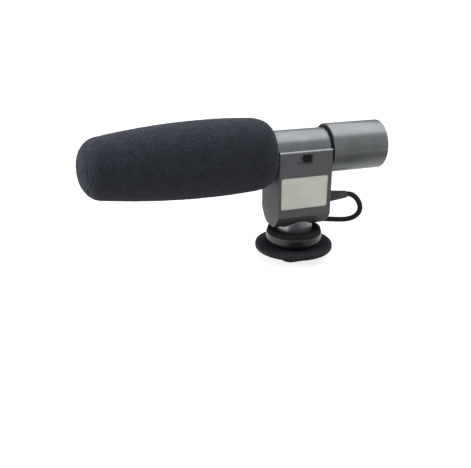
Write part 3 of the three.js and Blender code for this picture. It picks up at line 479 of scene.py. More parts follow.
def finish_of(name):
    """The named finish. They are all made the first time that one is asked for."""
    if not FINISHES:
        hues = colours()
        FINISHES.update({
            "foam": foam_finish("Open-cell foam", hues.foam),
            "gun_metal": metal_finish("Gun-metal satin", hues.gun_metal, roughness=0.27, metallic=0.9),
            "housing": painted_shade_housing_finish("Housing plastic with painted shade", hues.housing),
            "mount": moulded_finish(
                "Mount black", hues.mount, roughness=0.19, grain=1600, height=0.015, gloss=0.8, coat=0.35),
            "collar": moulded_finish(
                "Collar black", shade(46, 48, 51), roughness=0.7, grain=1600, height=0.015, gloss=0),
            "rim": moulded_finish(
                "Wheel rim black", shade(50, 51, 55), roughness=0.6, grain=900, height=0.08, gloss=0.15),
            "disc": moulded_finish(
                "Wheel disc black", shade(53, 54, 59), roughness=0.85, grain=900, height=0.12, gloss=0),
            "stem": metal_finish(
                "Dark stem metal", shade(163, 165, 170), roughness=0.3, metallic=0.85,
                stretch=(0.12, 0.12, 1)),
            # A lighter, metallic finish for the housing's rounded top edge: a painted highlight
            "painted_highlight_edge": metal_finish(
                "Housing edge painted highlight", shade(150, 154, 160), roughness=0.3, metallic=0.5),
            "black_plastic": moulded_finish("Black plastic", shade(34, 35, 38), roughness=0.5, gloss=0.2),
            "grey_plastic": moulded_finish("Switch grey", shade(178, 181, 186), roughness=0.5),
            "rubber": rubber_finish("Black rubber", hues.rubber),
            "boot": rubber_finish("Strain relief rubber", scaled(hues.rubber, 4)),
            "plate": plate_finish("Bare name plate", hues.plate),
            "steel": metal_finish("Bright steel", shade(188, 190, 193), roughness=0.26, metallic=0.95),
            "brass": metal_finish("Contact brass", shade(190, 155, 90), roughness=0.3, metallic=0.95),
            "dark_metal": metal_finish(
                "Black anodised metal", shade(48, 50, 55), roughness=0.42, metallic=0.6),
            "screw": metal_finish("Blackened screw steel", shade(74, 77, 82), roughness=0.38, metallic=0.8),
            "board": moulded_finish("Circuit board green", shade(35, 87, 58), roughness=0.4),
            "jacket": metal_finish("Cell jacket", shade(140, 146, 154), roughness=0.35, metallic=0.4),
            "cloth": cloth_finish("Black cloth screen", shade(26, 27, 29)),
        })
    return FINISHES[name]


# The camera: its direction in degrees, and its place in millimetres along its own axes, with a lift

VIEW_AZIMUTH = -18.57
VIEW_ELEVATION = 21.97
VIEW_BACK = 291.21
VIEW_LEFT = 25.72
VIEW_UP = 8.54
VIEW_LIFT = 0.3


class MICROPHONE_OT_camera(bpy.types.Operator):
    """Place the camera where the photograph was taken from"""
    bl_idname = "microphone.camera"
    bl_label = "Camera"

    def execute(self, context):
        azimuth, elevation = math.radians(VIEW_AZIMUTH), math.radians(VIEW_ELEVATION)
        back = Vector((math.sin(azimuth) * math.cos(elevation), -math.cos(azimuth) * math.cos(elevation),
                       math.sin(elevation)))
        right = Vector((math.cos(azimuth), math.sin(azimuth), 0))
        up = back.cross(right)
        place = (back * VIEW_BACK - right * VIEW_LEFT + up * VIEW_UP + Z * VIEW_LIFT) * MM
        data = bpy.data.cameras.new("Studio camera")
        data.sensor_fit = 'HORIZONTAL'
        data.sensor_width = 36
        data.lens = sizes().lens
        data.clip_start = 0.01
        data.clip_end = 20
        camera = bpy.data.objects.new("studio_camera", data)
        context.scene.collection.objects.link(camera)
        facing = Matrix((right, up, back)).transposed().to_4x4()
        camera.matrix_world = Matrix.Translation(place) @ facing
        context.scene.camera = camera
        return {'FINISHED'}


# The lead's route, the same points as the CAD source, and its plug, in millimetres

FIRST_STRETCH = [
    (24.3, 0, 25.5), (25.25, 0, 25.5), (26.5, 0, 25.4), (28.6, 0.2, 24.3), (30.8, 0.7, 22.3),
    (32.5, 1.3, 19.8), (33.5, 2.2, 17), (33.6, 3.6, 14.3), (32.3, 5.2, 12), (29.7, 6.6, 10.8),
    (26.6, 7.8, 10.5), (23.4, 8.9, 10.6), (20.3, 10, 10.7), (17.3, 11.6, 10.5), (14.4, 13.8, 9.8),
    (11.7, 16.7, 8.6), (9.5, 20.4, 7), (8, 24.8, 5.1), (7.2, 29.6, 3.4), (6.9, 34.4, 2.3),
    (6.9, 37.6, 2), (6.9, 40.2, 2),
]
SECOND_STRETCH = [
    (15.19, 50.82, 2), (15.9, 51.79, 2.05), (17.4, 52.95, 2.4), (19.5, 53.5, 3), (21.9, 53.4, 3.9),
    (24.2, 52.6, 4.8), (26.2, 51.2, 5.6), (27.5, 49.4, 6.3), (27.7, 47.5, 6.7), (26.92, 45.85, 6.75),
]
COIL_CENTRE = Vector((21.5, 42.9, 2.0))
COIL_OUTER_RADIUS = 14.6
COIL_PITCH = 4.4
COIL_TURNS = 1.1
COIL_STEPS = 48
POINT_SPACING = 0.7
LEAST_STEP = 1e-6
PLUG_HEADING = Vector((-0.43, -0.9, 0)).normalized()
RING_PLACES = (24.9, 28.0)   # of the plug's insulating rings, from the lead's end
RING_OUTLINE = ((1.6, 0), (1.75, 0), (1.775, 0.05), (1.775, 0.45), (1.75, 0.5), (1.6, 0.5), (1.6, 0))


def coil_points():
    """The coil's line: flat, wound inwards and clockwise seen from above."""
    points = []
    for i in range(COIL_STEPS + 1):
        turned_by = i / COIL_STEPS * COIL_TURNS
        angle = math.pi - turned_by * 2 * math.pi
        radius = COIL_OUTER_RADIUS - COIL_PITCH * turned_by
        points.append(COIL_CENTRE + Vector((radius * math.cos(angle), radius * math.sin(angle), 0)))
    return points


def rounded_line(route):
    """Points along a smooth centripetal curve through a route's points, evenly spaced between them."""
    knots = [Vector(point) for point in route]
    padded = [2 * knots[0] - knots[1], *knots, 2 * knots[-1] - knots[-2]]
    line = [knots[0].copy()]
    for a, b, c, d in zip(padded, padded[1:], padded[2:], padded[3:]):
        t1 = max(LEAST_STEP, (b - a).length ** 0.5)
        t2 = t1 + max(LEAST_STEP, (c - b).length ** 0.5)
        t3 = t2 + max(LEAST_STEP, (d - c).length ** 0.5)
        count = max(1, round((c - b).length / POINT_SPACING))
        for i in range(1, count + 1):
            t = t1 + (t2 - t1) * i / count
            ab = a.lerp(b, t / t1)
            bc = b.lerp(c, (t - t1) / (t2 - t1))
            cd = c.lerp(d, (t - t2) / (t3 - t2))
            line.append(ab.lerp(bc, t / t2).lerp(bc.lerp(cd, (t - t1) / (t3 - t1)), (t - t1) / (t2 - t1)))
    return line


class MICROPHONE_OT_lead(bpy.types.Operator):
    """Lay the lead from its strain relief through its coil to the plug"""
    bl_idname = "microphone.lead"
    bl_label = "Lead and plug"

    def execute(self, context):
        line = rounded_line([*FIRST_STRETCH, *coil_points(), *SECOND_STRETCH])
        curve = bpy.data.curves.new("lead", 'CURVE')
        curve.dimensions = '3D'
        spline = curve.splines.new('POLY')
        spline.points.add(len(line) - 1)
        for point, spot in zip(spline.points, line):
            point.co = (*(spot * MM), 1)
        curve.bevel_depth = sizes().cord_diameter / 2
        curve.bevel_resolution = 4
        curve.use_fill_caps = True
        lead = bpy.data.objects.new("lead", curve)
        context.scene.collection.objects.link(lead)
        paint(lead, "rubber")
        plug_axis = (Vector(SECOND_STRETCH[-1]) * MM, PLUG_HEADING, Z)
        for number, place in enumerate(RING_PLACES, 1):
            outline = in_metres((radius, place + step) for radius, step in RING_OUTLINE)
            ring = turned(f"plug_ring_{number}", outline, steps=32, about=plug_axis)
            smooth(ring, degrees=50)
            paint(ring, "black_plastic")
            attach(ring, "microphone")
        for node, finish, rounding in (("cord_tie", "rubber", 1), ("plug_relief", "rubber", 1),
                                       ("plug_shell", "black_plastic", 0.8), ("plug_pin", "steel", 0.5)):
            dressed(node, finish, "microphone", rounding)
        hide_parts("cord_first_stretch", "cord_coil", "cord_second_stretch")
        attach(lead, "microphone")
        return {'FINISHED'}


# The foam, in metres: from a round nose it grows to its widest place, and narrows to a rounded tail

FOAM_NOSE_RADIUS = 12.4 * MM
FOAM_NOSE_LENGTH = 9.2 * MM
FOAM_NOSE_POWER = 0.9          # under 1, the nose is blunter than an ellipse
FOAM_WIDEST_PLACE = -38.5 * MM
FOAM_TAIL_INSET = 0.55 * MM    # how much less its radius is where the tail's rounding starts
FOAM_TAIL_LENGTH = 9.8 * MM
FOAM_TAIL_DROP = 5.2 * MM      # how much the tail's rounding takes off its radius
FOAM_BORE = 9.25 * MM
FOAM_BORE_END = -87.2 * MM
FOAM_LIP = 0.25 * MM
FOAM_LIP_DEPTH = 0.3 * MM
FOAM_BORE_RING = 8 * MM        # how far in its bore has a ring of points
FOAM_BORE_SKIN = 0.5 * MM      # points up to this much over its bore's radius,
FOAM_BORE_BACK = 0.6 * MM      # and up to this far past its end, belong to the bore
FOAM_SETTLING = 0.15 * MM      # all of its skin sits this much lower
NOSE_STEPS = 18
BODY_STEPS = 70
TAIL_STEPS = 14

# Each lump in the foam's skin: its name and kind, its size in metres, and its share of the grain

FOAM_LUMPS = (("Foam swell", 'CLOUDS', 7 * MM, 0.8), ("Foam cells", 'VORONOI', 0.9 * MM, 1.0))


def foam_outline():
    """The foam's skin from its tip to its rear lip, then its bore up to the bore's end."""
    belly = (FOAM_HIGH.z - FOAM_LOW.z) / 2
    tail = belly - FOAM_TAIL_INSET
    start, end = FOAM_TIP + FOAM_NOSE_LENGTH, FOAM_REAR - FOAM_TAIL_LENGTH
    outline = [(0, FOAM_TIP)]
    for i in range(1, NOSE_STEPS + 1):
        angle = i / NOSE_STEPS * math.pi / 2
        outline.append((FOAM_NOSE_RADIUS * math.sin(angle) ** FOAM_NOSE_POWER,
                        FOAM_TIP + FOAM_NOSE_LENGTH * (1 - math.cos(angle))))
    for i in range(1, BODY_STEPS + 1):
        place = start + (end - start) * i / BODY_STEPS
        if place < FOAM_WIDEST_PLACE:
            share, narrow = (FOAM_WIDEST_PLACE - place) / (FOAM_WIDEST_PLACE - start), FOAM_NOSE_RADIUS
        else:
            share, narrow = (place - FOAM_WIDEST_PLACE) / (end - FOAM_WIDEST_PLACE), tail
        outline.append((belly - (belly - narrow) * share ** 2, place))
    for i in range(1, TAIL_STEPS + 1):
        angle = i / TAIL_STEPS * math.pi / 2
        outline.append((tail - FOAM_TAIL_DROP * (1 - math.cos(angle)),
                        end + FOAM_TAIL_LENGTH * math.sin(angle)))
    return outline + [(FOAM_BORE + FOAM_LIP, FOAM_REAR), (FOAM_BORE, FOAM_REAR - FOAM_LIP_DEPTH),
                      (FOAM_BORE, FOAM_REAR - FOAM_BORE_RING), (FOAM_BORE, FOAM_BORE_END),
                      (0, FOAM_BORE_END)]


def hang(foam):
    """Lets the foam's skin sag towards its tip, and keeps its bore round, clear of the barrel."""
    sag = sizes().foam_sag
    for vertex in foam.data.vertices:
        x, y, z = vertex.co
        reach = Vector((y, z - AXIS_HEIGHT)).length
        if reach < FOAM_BORE + FOAM_BORE_SKIN and x > FOAM_BORE_END - FOAM_BORE_BACK:
            share = min(1, FOAM_BORE / reach) if reach else 1
            vertex.co.y, vertex.co.z = y * share, AXIS_HEIGHT + (z - AXIS_HEIGHT) * share
        else:
            vertex.co.z -= sag * ((x - FOAM_REAR) / (FOAM_TIP - FOAM_REAR)) ** 2 + FOAM_SETTLING


class MICROPHONE_OT_foam(bpy.types.Operator):
    """Turn the foam windscreen and roughen its open cells"""
    bl_idname = "microphone.foam"
    bl_label = "Foam windscreen"

    def execute(self, context):
        foam = turned("foam_windscreen", foam_outline(), steps=120)
        finer = foam.modifiers.new("Finer skin", 'SUBSURF')
        finer.subdivision_type = 'SIMPLE'
        finer.levels = finer.render_levels = 1
        for name, kind, scale, share in FOAM_LUMPS:
            texture = bpy.data.textures.new(name, kind)
            texture.noise_scale = scale
            lump = foam.modifiers.new(name, 'DISPLACE')
            lump.texture = texture
            lump.strength = sizes().foam_grain * share
        apply_modifiers(foam)
        hang(foam)
        smooth(foam, degrees=180)
        paint(foam, "foam")
        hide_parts("windscreen")
        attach(foam, "foam")
        return {'FINISHED'}


# The locking wheel's outline, in millimetres: radius, and height over the wheel's lowest plane. The last
# points of its collar are measured down from its highest plane.

WHEEL_UNDERSIDE = [(4.9, 0), (6.0, 0), (6.0, 1.0), (13.5, 1.0), (13.5, 0)]
WHEEL_RIM = [(16.5, 0), (16.85, 0.12), (17.0, 0.45), (17.0, 1.15), (17.0, 1.85), (16.85, 2.18), (16.5, 2.3)]
WHEEL_DISC = [(12.6, 2.3), (12.4, 2.2), (11.3, 2.2), (11.1, 2.3), (10.2, 2.3)]
WHEEL_BOWL = [(10.6, 2.42), (11.15, 2.7), (11.62, 3.05), (12.0, 3.5), (12.2, 3.95), (12.28, 4.4),
              (12.27, 4.9), (12.22, 5.7), (12.16, 6.5), (12.1, 7.3)]
WHEEL_COLLAR = [(12.05, 7.5), (11.9, 7.55), (11.72, 7.6), (11.7, 7.75)]
WHEEL_COLLAR_TOP = [(11.7, -0.45), (11.6, -0.16), (11.35, 0), (9.3, 0), (9.1, -0.12), (8.5, -0.12),
                    (8.3, -0.3), (8.3, -2.6), (4.9, -2.6)]

# Where the wheel's finishes meet: radii, and heights over its lowest plane

RIM_FROM_RADIUS = 16.6
DISC_FROM_RADIUS = 12.55
UNDERSIDE_TO_HEIGHT = 0.5
BOWL_HEIGHTS = (2.45, 7.45)

# The knurl: the wheel is turned in so many steps, four to a tooth, each cut by its share of the depth

KNURL_FROM_RADIUS = 16.7
KNURL_STEPS = 192
KNURL_CUTS = (0, 0.5, 1, 0.5)


class MICROPHONE_OT_lock_wheel(bpy.types.Operator):
    """Turn the knurled locking wheel with its bowl and collar"""
    bl_idname = "microphone.lock_wheel"
    bl_label = "Locking wheel"

    def execute(self, context):
        low, high = WHEEL_LOW.z / MM, WHEEL_HIGH.z / MM
        rising = WHEEL_UNDERSIDE + WHEEL_RIM + WHEEL_DISC + WHEEL_BOWL + WHEEL_COLLAR
        outline = [(radius, low + height) for radius, height in rising]
        outline += [(radius, high + height) for radius, height in WHEEL_COLLAR_TOP]
        outline.append(outline[0])
        wheel = turned("lock_wheel_dressed", in_metres(outline), KNURL_STEPS, about=MOUNT_AXIS)
        depth = sizes().knurl_depth
        for vertex in wheel.data.vertices:
            reach = math.hypot(vertex.co.x, vertex.co.y)
            if reach > KNURL_FROM_RADIUS * MM:
                step = round(math.atan2(vertex.co.y, vertex.co.x) / (2 * math.pi) * KNURL_STEPS)
                share = 1 - depth / reach * KNURL_CUTS[step % len(KNURL_CUTS)]
                vertex.co.x, vertex.co.y = vertex.co.x * share, vertex.co.y * share
        smooth(wheel, degrees=34)
        finishes = ("mount", "disc", "collar", "rim")
        paint(wheel, *finishes)
        for face in wheel.data.polygons:
            height, reach = face.center.z / MM - low, math.hypot(*face.center.xy) / MM
            if reach > RIM_FROM_RADIUS:
                face.material_index = finishes.index("rim")
            elif reach > DISC_FROM_RADIUS or height < UNDERSIDE_TO_HEIGHT:
                face.material_index = finishes.index("disc")
            elif not BOWL_HEIGHTS[0] <= height <= BOWL_HEIGHTS[1]:
                face.material_index = finishes.index("collar")
        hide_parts("lock_wheel")
        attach(wheel, "wheel")
        return {'FINISHED'}


# The shoe foot, in metres: the rounding of its underside's sides, and of its other edges

FOOT_SIDE_ROUND = 0.9 * MM
FOOT_EDGE_ROUND = 0.2 * MM
STUD_REACH = 6 * MM            # its edges nearer to its middle are those round its stud


class MICROPHONE_OT_mount(bpy.types.Operator):
    """Dress the stem, the shoe foot and the clamp pad"""
    bl_idname = "microphone.mount"
    bl_label = "Stem and foot"

    def execute(self, context):
        dressed("mount_stem", "stem", "microphone", rounding=1.2)
        foot = dressed("shoe_foot", "rim", "microphone", rounding=0)

        def round_its_sides(*ends):
            """Chooses the edges of the underside, apart from those round the stud."""
            return all(v.z < FOOT_BOTTOM + NEAR and max(abs(v.x), abs(v.y)) > STUD_REACH for v in ends)

        bevel_lines(foot, FOOT_SIDE_ROUND, segments=4, chosen=round_its_sides)
        round_edges(foot, FOOT_EDGE_ROUND, degrees=40)
        smooth(foot)
        dressed("clamp_pad", "rubber", "pad")
        return {'FINISHED'}


# The housing and its cover, in metres: their top edges, rounded along X and given a painted highlight, and
# the rest

TOP_EDGE_ROUND = 0.95 * MM
TOP_EDGE_LENGTH = 5 * MM       # shorter edges there are rounded no more than the rest
HOUSING_EDGE_ROUND = 0.28 * MM
COVER_EDGE_ROUND = 0.14 * MM
HIGHLIGHT_DEPTH = 1.1 * MM
HIGHLIGHT_LEAN = (0.12, 0.985)      # a highlighted face's slope, as its normal's share in Y


class MICROPHONE_OT_housing(bpy.types.Operator):
    """Dress the stem housing, its side cover and the strain relief"""
    bl_idname = "microphone.housing"
    bl_label = "Stem housing"

    def execute(self, context):
        housing = dressed("housing", "housing", "microphone", rounding=0)
        cover = dressed("side_cover", "housing", "microphone", rounding=0)
        for piece, side, rest in ((housing, -1, HOUSING_EDGE_ROUND), (cover, 1, COVER_EDGE_ROUND)):
            top = max(v.co.z for v in piece.data.vertices)
            face = max(side * v.co.y for v in piece.data.vertices)

            def along_the_top(a, b):
                """Chooses the long edge between the outer face and the top."""
                return abs(a.x - b.x) > TOP_EDGE_LENGTH and all(
                    abs(v.z - top) < NEAR and abs(side * v.y - face) < NEAR for v in (a, b))

            bevel_lines(piece, TOP_EDGE_ROUND, segments=5, chosen=along_the_top)
            round_edges(piece, rest)
            smooth(piece)
            # Painted highlight: the faces of the rounded top edge take a lighter, metallic finish.
            piece.data.materials.append(finish_of("painted_highlight_edge"))
            for panel in piece.data.polygons:
                leaning = HIGHLIGHT_LEAN[0] < side * panel.normal.y < HIGHLIGHT_LEAN[1]
                if leaning and panel.normal.z > HIGHLIGHT_LEAN[0] and panel.center.z > top - HIGHLIGHT_DEPTH:
                    panel.material_index = 1
        dressed("strain_relief", "boot", "microphone", rounding=0.8)
        return {'FINISHED'}


# The cover screws, in millimetres, and each recess's turn in degrees

SHANK_RADIUS = 0.95
RECESS_LENGTH = 2.5
RECESS_WIDTH = 0.5
RECESS_DEPTH = 0.55
RECESS_TURNS = (18, 62, 40, 5)


class MICROPHONE_OT_cover_screws(bpy.types.Operator):
    """Make one countersunk screw with its cross recess, and set its copies in the side cover"""
    bl_idname = "microphone.cover_screws"
    bl_label = "Cover screws"

    def execute(self, context):
        low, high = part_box("cover_screw_1")
        end, face, reach = low.y / MM, high.y / MM, (high.x - low.x) / 2 / MM
        screw = turned("cross_screw", in_metres((
            (0, end), (0.6, end), (SHANK_RADIUS, end + 0.5), (SHANK_RADIUS, face - 0.9),
            (reach - 0.12, face - 0.12), (reach - 0.03, face - 0.06), (reach - 0.08, face),
            (0, face))), steps=40, about=SCREW_AXIS)
        for long, wide in ((RECESS_LENGTH, RECESS_WIDTH), (RECESS_WIDTH, RECESS_LENGTH)):
            blade = block("blade", (0, face * MM, 0), (long * MM, 2 * RECESS_DEPTH * MM, wide * MM))
            recess = screw.modifiers.new("Recess", 'BOOLEAN')
            recess.operation = 'DIFFERENCE'
            recess.object = blade
            apply_modifiers(screw)
            bpy.data.objects.remove(blade)
        smooth(screw)
        paint(screw, "screw")
        for number, turn in enumerate(RECESS_TURNS, 1):
            node = f"cover_screw_{number}"
            low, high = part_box(node)
            copy = copied(screw, node + "_dressed")
            copy.location = ((low.x + high.x) / 2, 0, (low.z + high.z) / 2)
            copy.rotation_euler = (0, math.radians(turn), 0)
            settle(copy)
            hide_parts(node)
            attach(copy, "microphone")
        bpy.data.objects.remove(screw)
        return {'FINISHED'}


# The name plate, in metres: its corners, and the slope and depth from its border down to its face

PLATE_CORNER = 0.5 * MM
PLATE_SLOPE = 0.06 * MM
PLATE_DEPTH = 0.05 * MM
PLATE_FACING = -0.9            # the face's normal has less than this in Y


class MICROPHONE_OT_name_plate(bpy.types.Operator):
    """Make the bare name plate with its raised border"""
    bl_idname = "microphone.name_plate"
    bl_label = "Bare name plate"

    def execute(self, context):
        plate = block("bare_name_plate", (PLATE_LOW + PLATE_HIGH) / 2, PLATE_HIGH - PLATE_LOW)
        bevel_lines(plate, PLATE_CORNER, segments=5, chosen=lambda a, b: abs((a - b).y) > NEAR)
        select_none(plate)
        for face in plate.data.polygons:
            face.select = face.normal.y < PLATE_FACING
        bpy.ops.object.mode_set(mode='EDIT')
        bpy.ops.mesh.inset(thickness=sizes().plate_border)
        bpy.ops.mesh.inset(thickness=PLATE_SLOPE, depth=-PLATE_DEPTH)
        bpy.ops.object.mode_set(mode='OBJECT')
        smooth(plate, degrees=25)
        paint(plate, "plate")
        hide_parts("name_plate")
        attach(plate, "microphone")
        return {'FINISHED'}


# The switch knob's ribs, in metres

RIB_COUNT = 5
RIB_PITCH = 0.52 * MM
RIB_WIDTH = 0.26 * MM
RIB_THICKNESS = 0.3 * MM
RIB_HEIGHT_SHARE = 0.78
RIB_ROUND = 0.1 * MM
FIRST_RIB_INSET = 0.55 * MM
RIB_STANDS_OUT = 0.02 * MM


class MICROPHONE_OT_switch(bpy.types.Operator):
    """Dress the slide switch's knob and its body, and make the knob's ribs"""
    bl_idname = "microphone.switch"
    bl_label = "Slide switch"

    def execute(self, context):
        dressed("switch_knob", "black_plastic", "knob")
        rib = block(
            "knob_ribs",
            (KNOB_LOW.x + FIRST_RIB_INSET, KNOB_LOW.y - RIB_STANDS_OUT, (KNOB_LOW.z + KNOB_HIGH.z) / 2),
            (RIB_WIDTH, RIB_THICKNESS, (KNOB_HIGH.z - KNOB_LOW.z) * RIB_HEIGHT_SHARE))
        repeat = rib.modifiers.new("Repeat", 'ARRAY')
        repeat.count = RIB_COUNT
        repeat.use_relative_offset = False
        repeat.use_constant_offset = True
        repeat.constant_offset_displace = (RIB_PITCH, 0, 0)
        round_over = rib.modifiers.new("Round over", 'BEVEL')
        round_over.width = RIB_ROUND
        round_over.segments = 3
        apply_modifiers(rib)
        smooth(rib, degrees=40)
        paint(rib, "black_plastic")
        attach(rib, "knob")
        dressed("switch_body", "grey_plastic", "microphone", rounding=0.6)
        return {'FINISHED'}


# The woven screen inside the slotted barrel, in metres: its places are from the barrel's front

SCREEN_RADIUS = 7.7 * MM
SCREEN_BORE = 7.45 * MM
SCREEN_FRONT = 3.6 * MM
SCREEN_REAR = 44 * MM


class MICROPHONE_OT_tube(bpy.types.Operator):
    """Dress the main tube, the seal and the front barrel, and line the barrel with its screen"""
    bl_idname = "microphone.tube"
    bl_label = "Tube and barrel"

    def execute(self, context):
        dressed("main_tube", "gun_metal", "microphone")
        dressed("slotted_barrel", "gun_metal", "microphone", rounding=0.8)
        dressed("nose_cap", "dark_metal", "microphone", rounding=0.6)
        dressed("cap_seal", "rubber", "microphone", rounding=0.5)
        front, rear = BARREL_FRONT + SCREEN_FRONT, BARREL_FRONT + SCREEN_REAR
        outline = [(SCREEN_BORE, front), (SCREEN_RADIUS, front), (SCREEN_RADIUS, rear), (SCREEN_BORE, rear),
                   (SCREEN_BORE, front)]
        screen = turned("slot_screen", outline, steps=64)
        smooth(screen, degrees=40)
        paint(screen, "cloth")
        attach(screen, "microphone")
        return {'FINISHED'}


# The battery cap, in millimetres: its radii, and where its bore steps down to its hollow

CAP_RADIUS = 10.4
CAP_BORE = 8.6
CAP_MOUTH = 9.8
CAP_MOUTH_DEPTH = 1.1
CAP_HOLLOW = 8.0
CAP_STEP_PLACE = 22.3
CAP_END_THICKNESS = 1.6


class MICROPHONE_OT_battery_cap(bpy.types.Operator):
    """Turn the battery cap with its rounded end"""
    bl_idname = "microphone.battery_cap"
    bl_label = "Battery cap"

    def execute(self, context):
        front, rear = CAP_LOW.x / MM, CAP_HIGH.x / MM
        outside = [(CAP_MOUTH, front), (10.2, front), (10.34, front + 0.07), (CAP_RADIUS, front + 0.25),
                   (CAP_RADIUS, rear - 0.55), (10.34, rear - 0.3), (10.18, rear - 0.12), (9.9, rear),
                   (8.7, rear), (8.55, rear - 0.16), (0, rear - 0.16)]
        bottom = rear - CAP_END_THICKNESS
        inside = [(0, bottom), (CAP_HOLLOW - 0.5, bottom), (CAP_HOLLOW, bottom - 0.5),
                  (CAP_HOLLOW, CAP_STEP_PLACE), (CAP_BORE, CAP_STEP_PLACE),
                  (CAP_BORE, front + CAP_MOUTH_DEPTH), (CAP_MOUTH, front + CAP_MOUTH_DEPTH),
                  (CAP_MOUTH, front)]
        cap = turned("battery_cap_dressed", in_metres(outside + inside), steps=144)
        smooth(cap, degrees=34)
        paint(cap, "gun_metal")
        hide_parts("battery_cap")
        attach(cap, "cap")
        return {'FINISHED'}


# The CAD pieces that the scene keeps as they are, with their finishes

CARRIED_OVER = {
    "capsule_holder": "rubber", "capsule": "steel", "front_contact": "brass",
    "battery_sleeve": "black_plastic", "battery_cell": "jacket", "circuit_board": "board",
    "board_screw_1": "steel", "board_screw_2": "steel", "output_capacitor": "dark_metal",
    "amplifier_chip": "black_plastic", "stem_nut": "steel", "foot_stud": "steel",
    "cap_contact": "brass", "cap_spring": "steel",
}


class MICROPHONE_OT_inner_parts(bpy.types.Operator):
    """Give the pieces kept from the CAD frame their finishes"""
    bl_idname = "microphone.inner_parts"
    bl_label = "Inner parts"

    def execute(self, context):
        for node, finish in CARRIED_OVER.items():
            paint(frame["nodes"][node], finish)
        return {'FINISHED'}


# The studio. Camera rays see its floor and room plain, and glossy rays see painted dark reflections in
# them, where no dark card stands.

FLOOR_SIZE = 6
FLOOR_LIGHTNESS = 0.45
FLOOR_GLOW = 0.8
ROOM_LIGHT = 0.45        # the strength at which the white room lights the object
REFLECTION_FADE = 1.7          # a painted dark reflection has faded at so many times its size
LAMP_AIM = Z * 0.04

# Each lamp: its name, place and size in metres, power in watts, and whether it shows in gloss

LAMPS = (
    ("Overhead softbox", (0.2, 0.12, 0.5), (0.7, 0.6), 1.8, True),
    ("Left softbox", (-0.36, 0.02, 0.2), (0.2, 0.2), 1.3, False),
    ("Right softbox", (0.55, -0.33, 0.2), (0.3, 0.2), 0.8, False),
)


def combined(tree, total, *others, operation='MULTIPLY'):
    """The product of a socket and more sockets or numbers, or what another operation makes of them."""
    for other in others:
        step = new_node(tree, "Math")
        step.operation = operation
        tree.links.new(total, step.inputs[0])
        if isinstance(other, float):
            step.inputs[1].default_value = other
        else:
            tree.links.new(other, step.inputs[1])
        total = step.outputs[0]
    return total


def background_rays(tree):
    """1 for camera, glossy and transmission rays, and 0 for the rays that light the object."""
    path = new_node(tree, "LightPath")
    rays = [path.outputs[f"Is {kind} Ray"] for kind in ("Camera", "Glossy", "Transmission")]
    return combined(tree, *rays, operation='MAXIMUM')


def seen_in_gloss(tree, value, limits, levels):
    """1 for most rays. For glossy rays it follows a value, as `mapped` does."""
    path = new_node(tree, "LightPath")
    mix = new_node(tree, "Mix", {"A": 1})
    tree.links.new(path.outputs["Is Glossy Ray"], mix.inputs["Factor"])
    tree.links.new(mapped(tree, value, limits, levels), mix.inputs["B"])
    return mix.outputs[0]


def painted_dark_reflection(tree, centre, half, levels):
    """A painted reflection: an oval dark patch on the floor that only glossy rays see, though no card
    stands there. The first level is on it, and the second where it has faded."""
    coordinates = new_node(tree, "TexCoord")
    oval = new_node(tree, "VectorMath")
    oval.operation = 'MULTIPLY_ADD'
    oval.inputs[1].default_value = (1 / half[0], 1 / half[1], 0)
    oval.inputs[2].default_value = (-centre[0] / half[0], -centre[1] / half[1], 0)
    tree.links.new(coordinates.outputs["Object"], oval.inputs[0])
    reach = new_node(tree, "VectorMath")
    reach.operation = 'LENGTH'
    tree.links.new(oval.outputs["Vector"], reach.inputs[0])
    return seen_in_gloss(tree, reach.outputs["Value"], (1, REFLECTION_FADE), levels)


def dark_ends(tree, space, front, back):
    """1 in the middle of the studio. In glossy rays it falls off along Y of the coordinates named, each
    way between the two places given first, down to the level given last."""
    coordinates = new_node(tree, "TexCoord")
    split = new_node(tree, "SeparateXYZ")
    tree.links.new(coordinates.outputs[space], split.inputs[0])
    (far, near, level), (start, end, depth) = front, back
    return combined(tree, seen_in_gloss(tree, split.outputs["Y"], (far, near), (level, 1)),
                    seen_in_gloss(tree, split.outputs["Y"], (start, end), (1, depth)))


def floor_finish():
    """A pale floor that glows white in the background. Glossy rays see painted dark reflections on it, and
    its ends painted dark.
    """
    finish, tree, shader = blank_finish("Pale floor")
    # Painted reflections: dark patches and dark ends on the floor that only glossy rays see.
    seen = combined(
        tree, painted_dark_reflection(tree, centre=(-0.009, -0.036), half=(0.015, 0.023), levels=(0.08, 1)),
        painted_dark_reflection(tree, centre=(0.02, -0.081), half=(0.1, 0.043), levels=(0.24, 0.68)),
        dark_ends(tree, "Object", front=(-0.28, -0.12, 0.5), back=(0.1, 0.25, 0.4)))
    glow = combined(tree, background_rays(tree), FLOOR_GLOW, seen)
    tree.links.new(combined(tree, seen, FLOOR_LIGHTNESS), shader.inputs["Base Color"])
    tree.links.new(glow, shader.inputs["Emission Strength"])
    fill(shader, {"Roughness": 0.9, "Specular IOR Level": 0.1, "Emission Color": (1, 1, 1, 1)})
    return finish


def white_room():
    """Surroundings that are white in the background and light the object at a plain level."""
    world = bpy.data.worlds.new("White studio")
    world.use_nodes = True
    tree = world.node_tree
    strength = mapped(tree, background_rays(tree), (0, 1), (ROOM_LIGHT, 1))
    seen = dark_ends(tree, "Generated", front=(-0.8, -0.1, 0.64), back=(0.3, 0.9, 0.33))
    room = tree.nodes["Background"]
    tree.links.new(combined(tree, strength, seen), room.inputs["Strength"])
    fill(room, {"Color": (1, 1, 1, 1)})
    return world


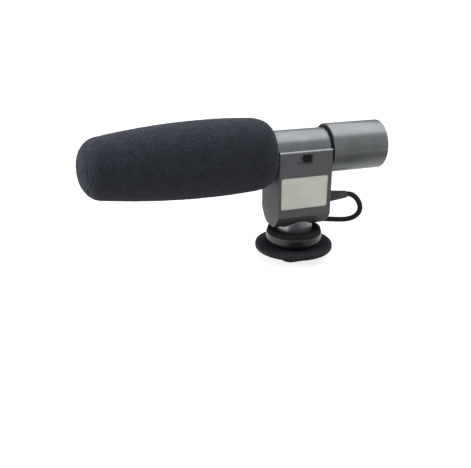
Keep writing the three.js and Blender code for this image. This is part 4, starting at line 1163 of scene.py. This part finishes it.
class MICROPHONE_OT_stage(bpy.types.Operator):
    """Set the pale floor, the soft lamps and the white surroundings"""
    bl_idname = "microphone.stage"
    bl_label = "Studio"

    def execute(self, context):
        let_go()
        bpy.ops.mesh.primitive_plane_add(size=FLOOR_SIZE, location=ORIGIN)
        floor = context.object
        floor.name = "studio_floor"
        floor.data.materials.append(floor_finish())
        context.scene.world = white_room()
        for name, place, size, power, in_gloss in LAMPS:
            lamp = bpy.data.lights.new(name, 'AREA')
            lamp.shape = 'RECTANGLE'
            lamp.size, lamp.size_y = size
            lamp.energy = power
            holder = bpy.data.objects.new(name.lower().replace(" ", "_"), lamp)
            context.scene.collection.objects.link(holder)
            holder.location = place
            holder.visible_glossy = in_gloss
            holder.rotation_euler = (Vector(place) - LAMP_AIM).to_track_quat('Z', 'Y').to_euler()
        context.scene.view_settings.view_transform = 'Standard'
        return {'FINISHED'}


OPERATORS = (
    MICROPHONE_OT_camera, MICROPHONE_OT_lead, MICROPHONE_OT_foam, MICROPHONE_OT_lock_wheel,
    MICROPHONE_OT_mount, MICROPHONE_OT_housing, MICROPHONE_OT_cover_screws, MICROPHONE_OT_name_plate,
    MICROPHONE_OT_switch, MICROPHONE_OT_tube, MICROPHONE_OT_battery_cap, MICROPHONE_OT_inner_parts,
    MICROPHONE_OT_stage,
)


class MICROPHONE_PT_panel(bpy.types.Panel):
    """The microphone's pieces, sizes and colours"""
    bl_idname = "MICROPHONE_PT_panel"
    bl_label = "On-camera microphone"
    bl_space_type = 'VIEW_3D'
    bl_region_type = 'UI'
    bl_category = "Microphone"

    def draw(self, context):
        for operator in OPERATORS:
            self.layout.operator(operator.bl_idname)
        for group in (sizes(), colours()):
            for name in group.__annotations__:
                self.layout.prop(group, name)


CLASSES = (MicrophoneSizes, MicrophoneColours, *OPERATORS, MICROPHONE_PT_panel)


def register():
    for item in CLASSES:
        bpy.utils.register_class(item)
    bpy.types.Scene.microphone_sizes = bpy.props.PointerProperty(type=MicrophoneSizes)
    bpy.types.Scene.microphone_colours = bpy.props.PointerProperty(type=MicrophoneColours)


def unregister():
    del bpy.types.Scene.microphone_colours
    del bpy.types.Scene.microphone_sizes
    for item in reversed(CLASSES):
        bpy.utils.unregister_class(item)


def main():
    """Registers the add-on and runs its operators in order."""
    register()
    for operator in OPERATORS:
        group, name = operator.bl_idname.split(".")
        getattr(getattr(bpy.ops, group), name)()


if __name__ == "__main__":
    main()
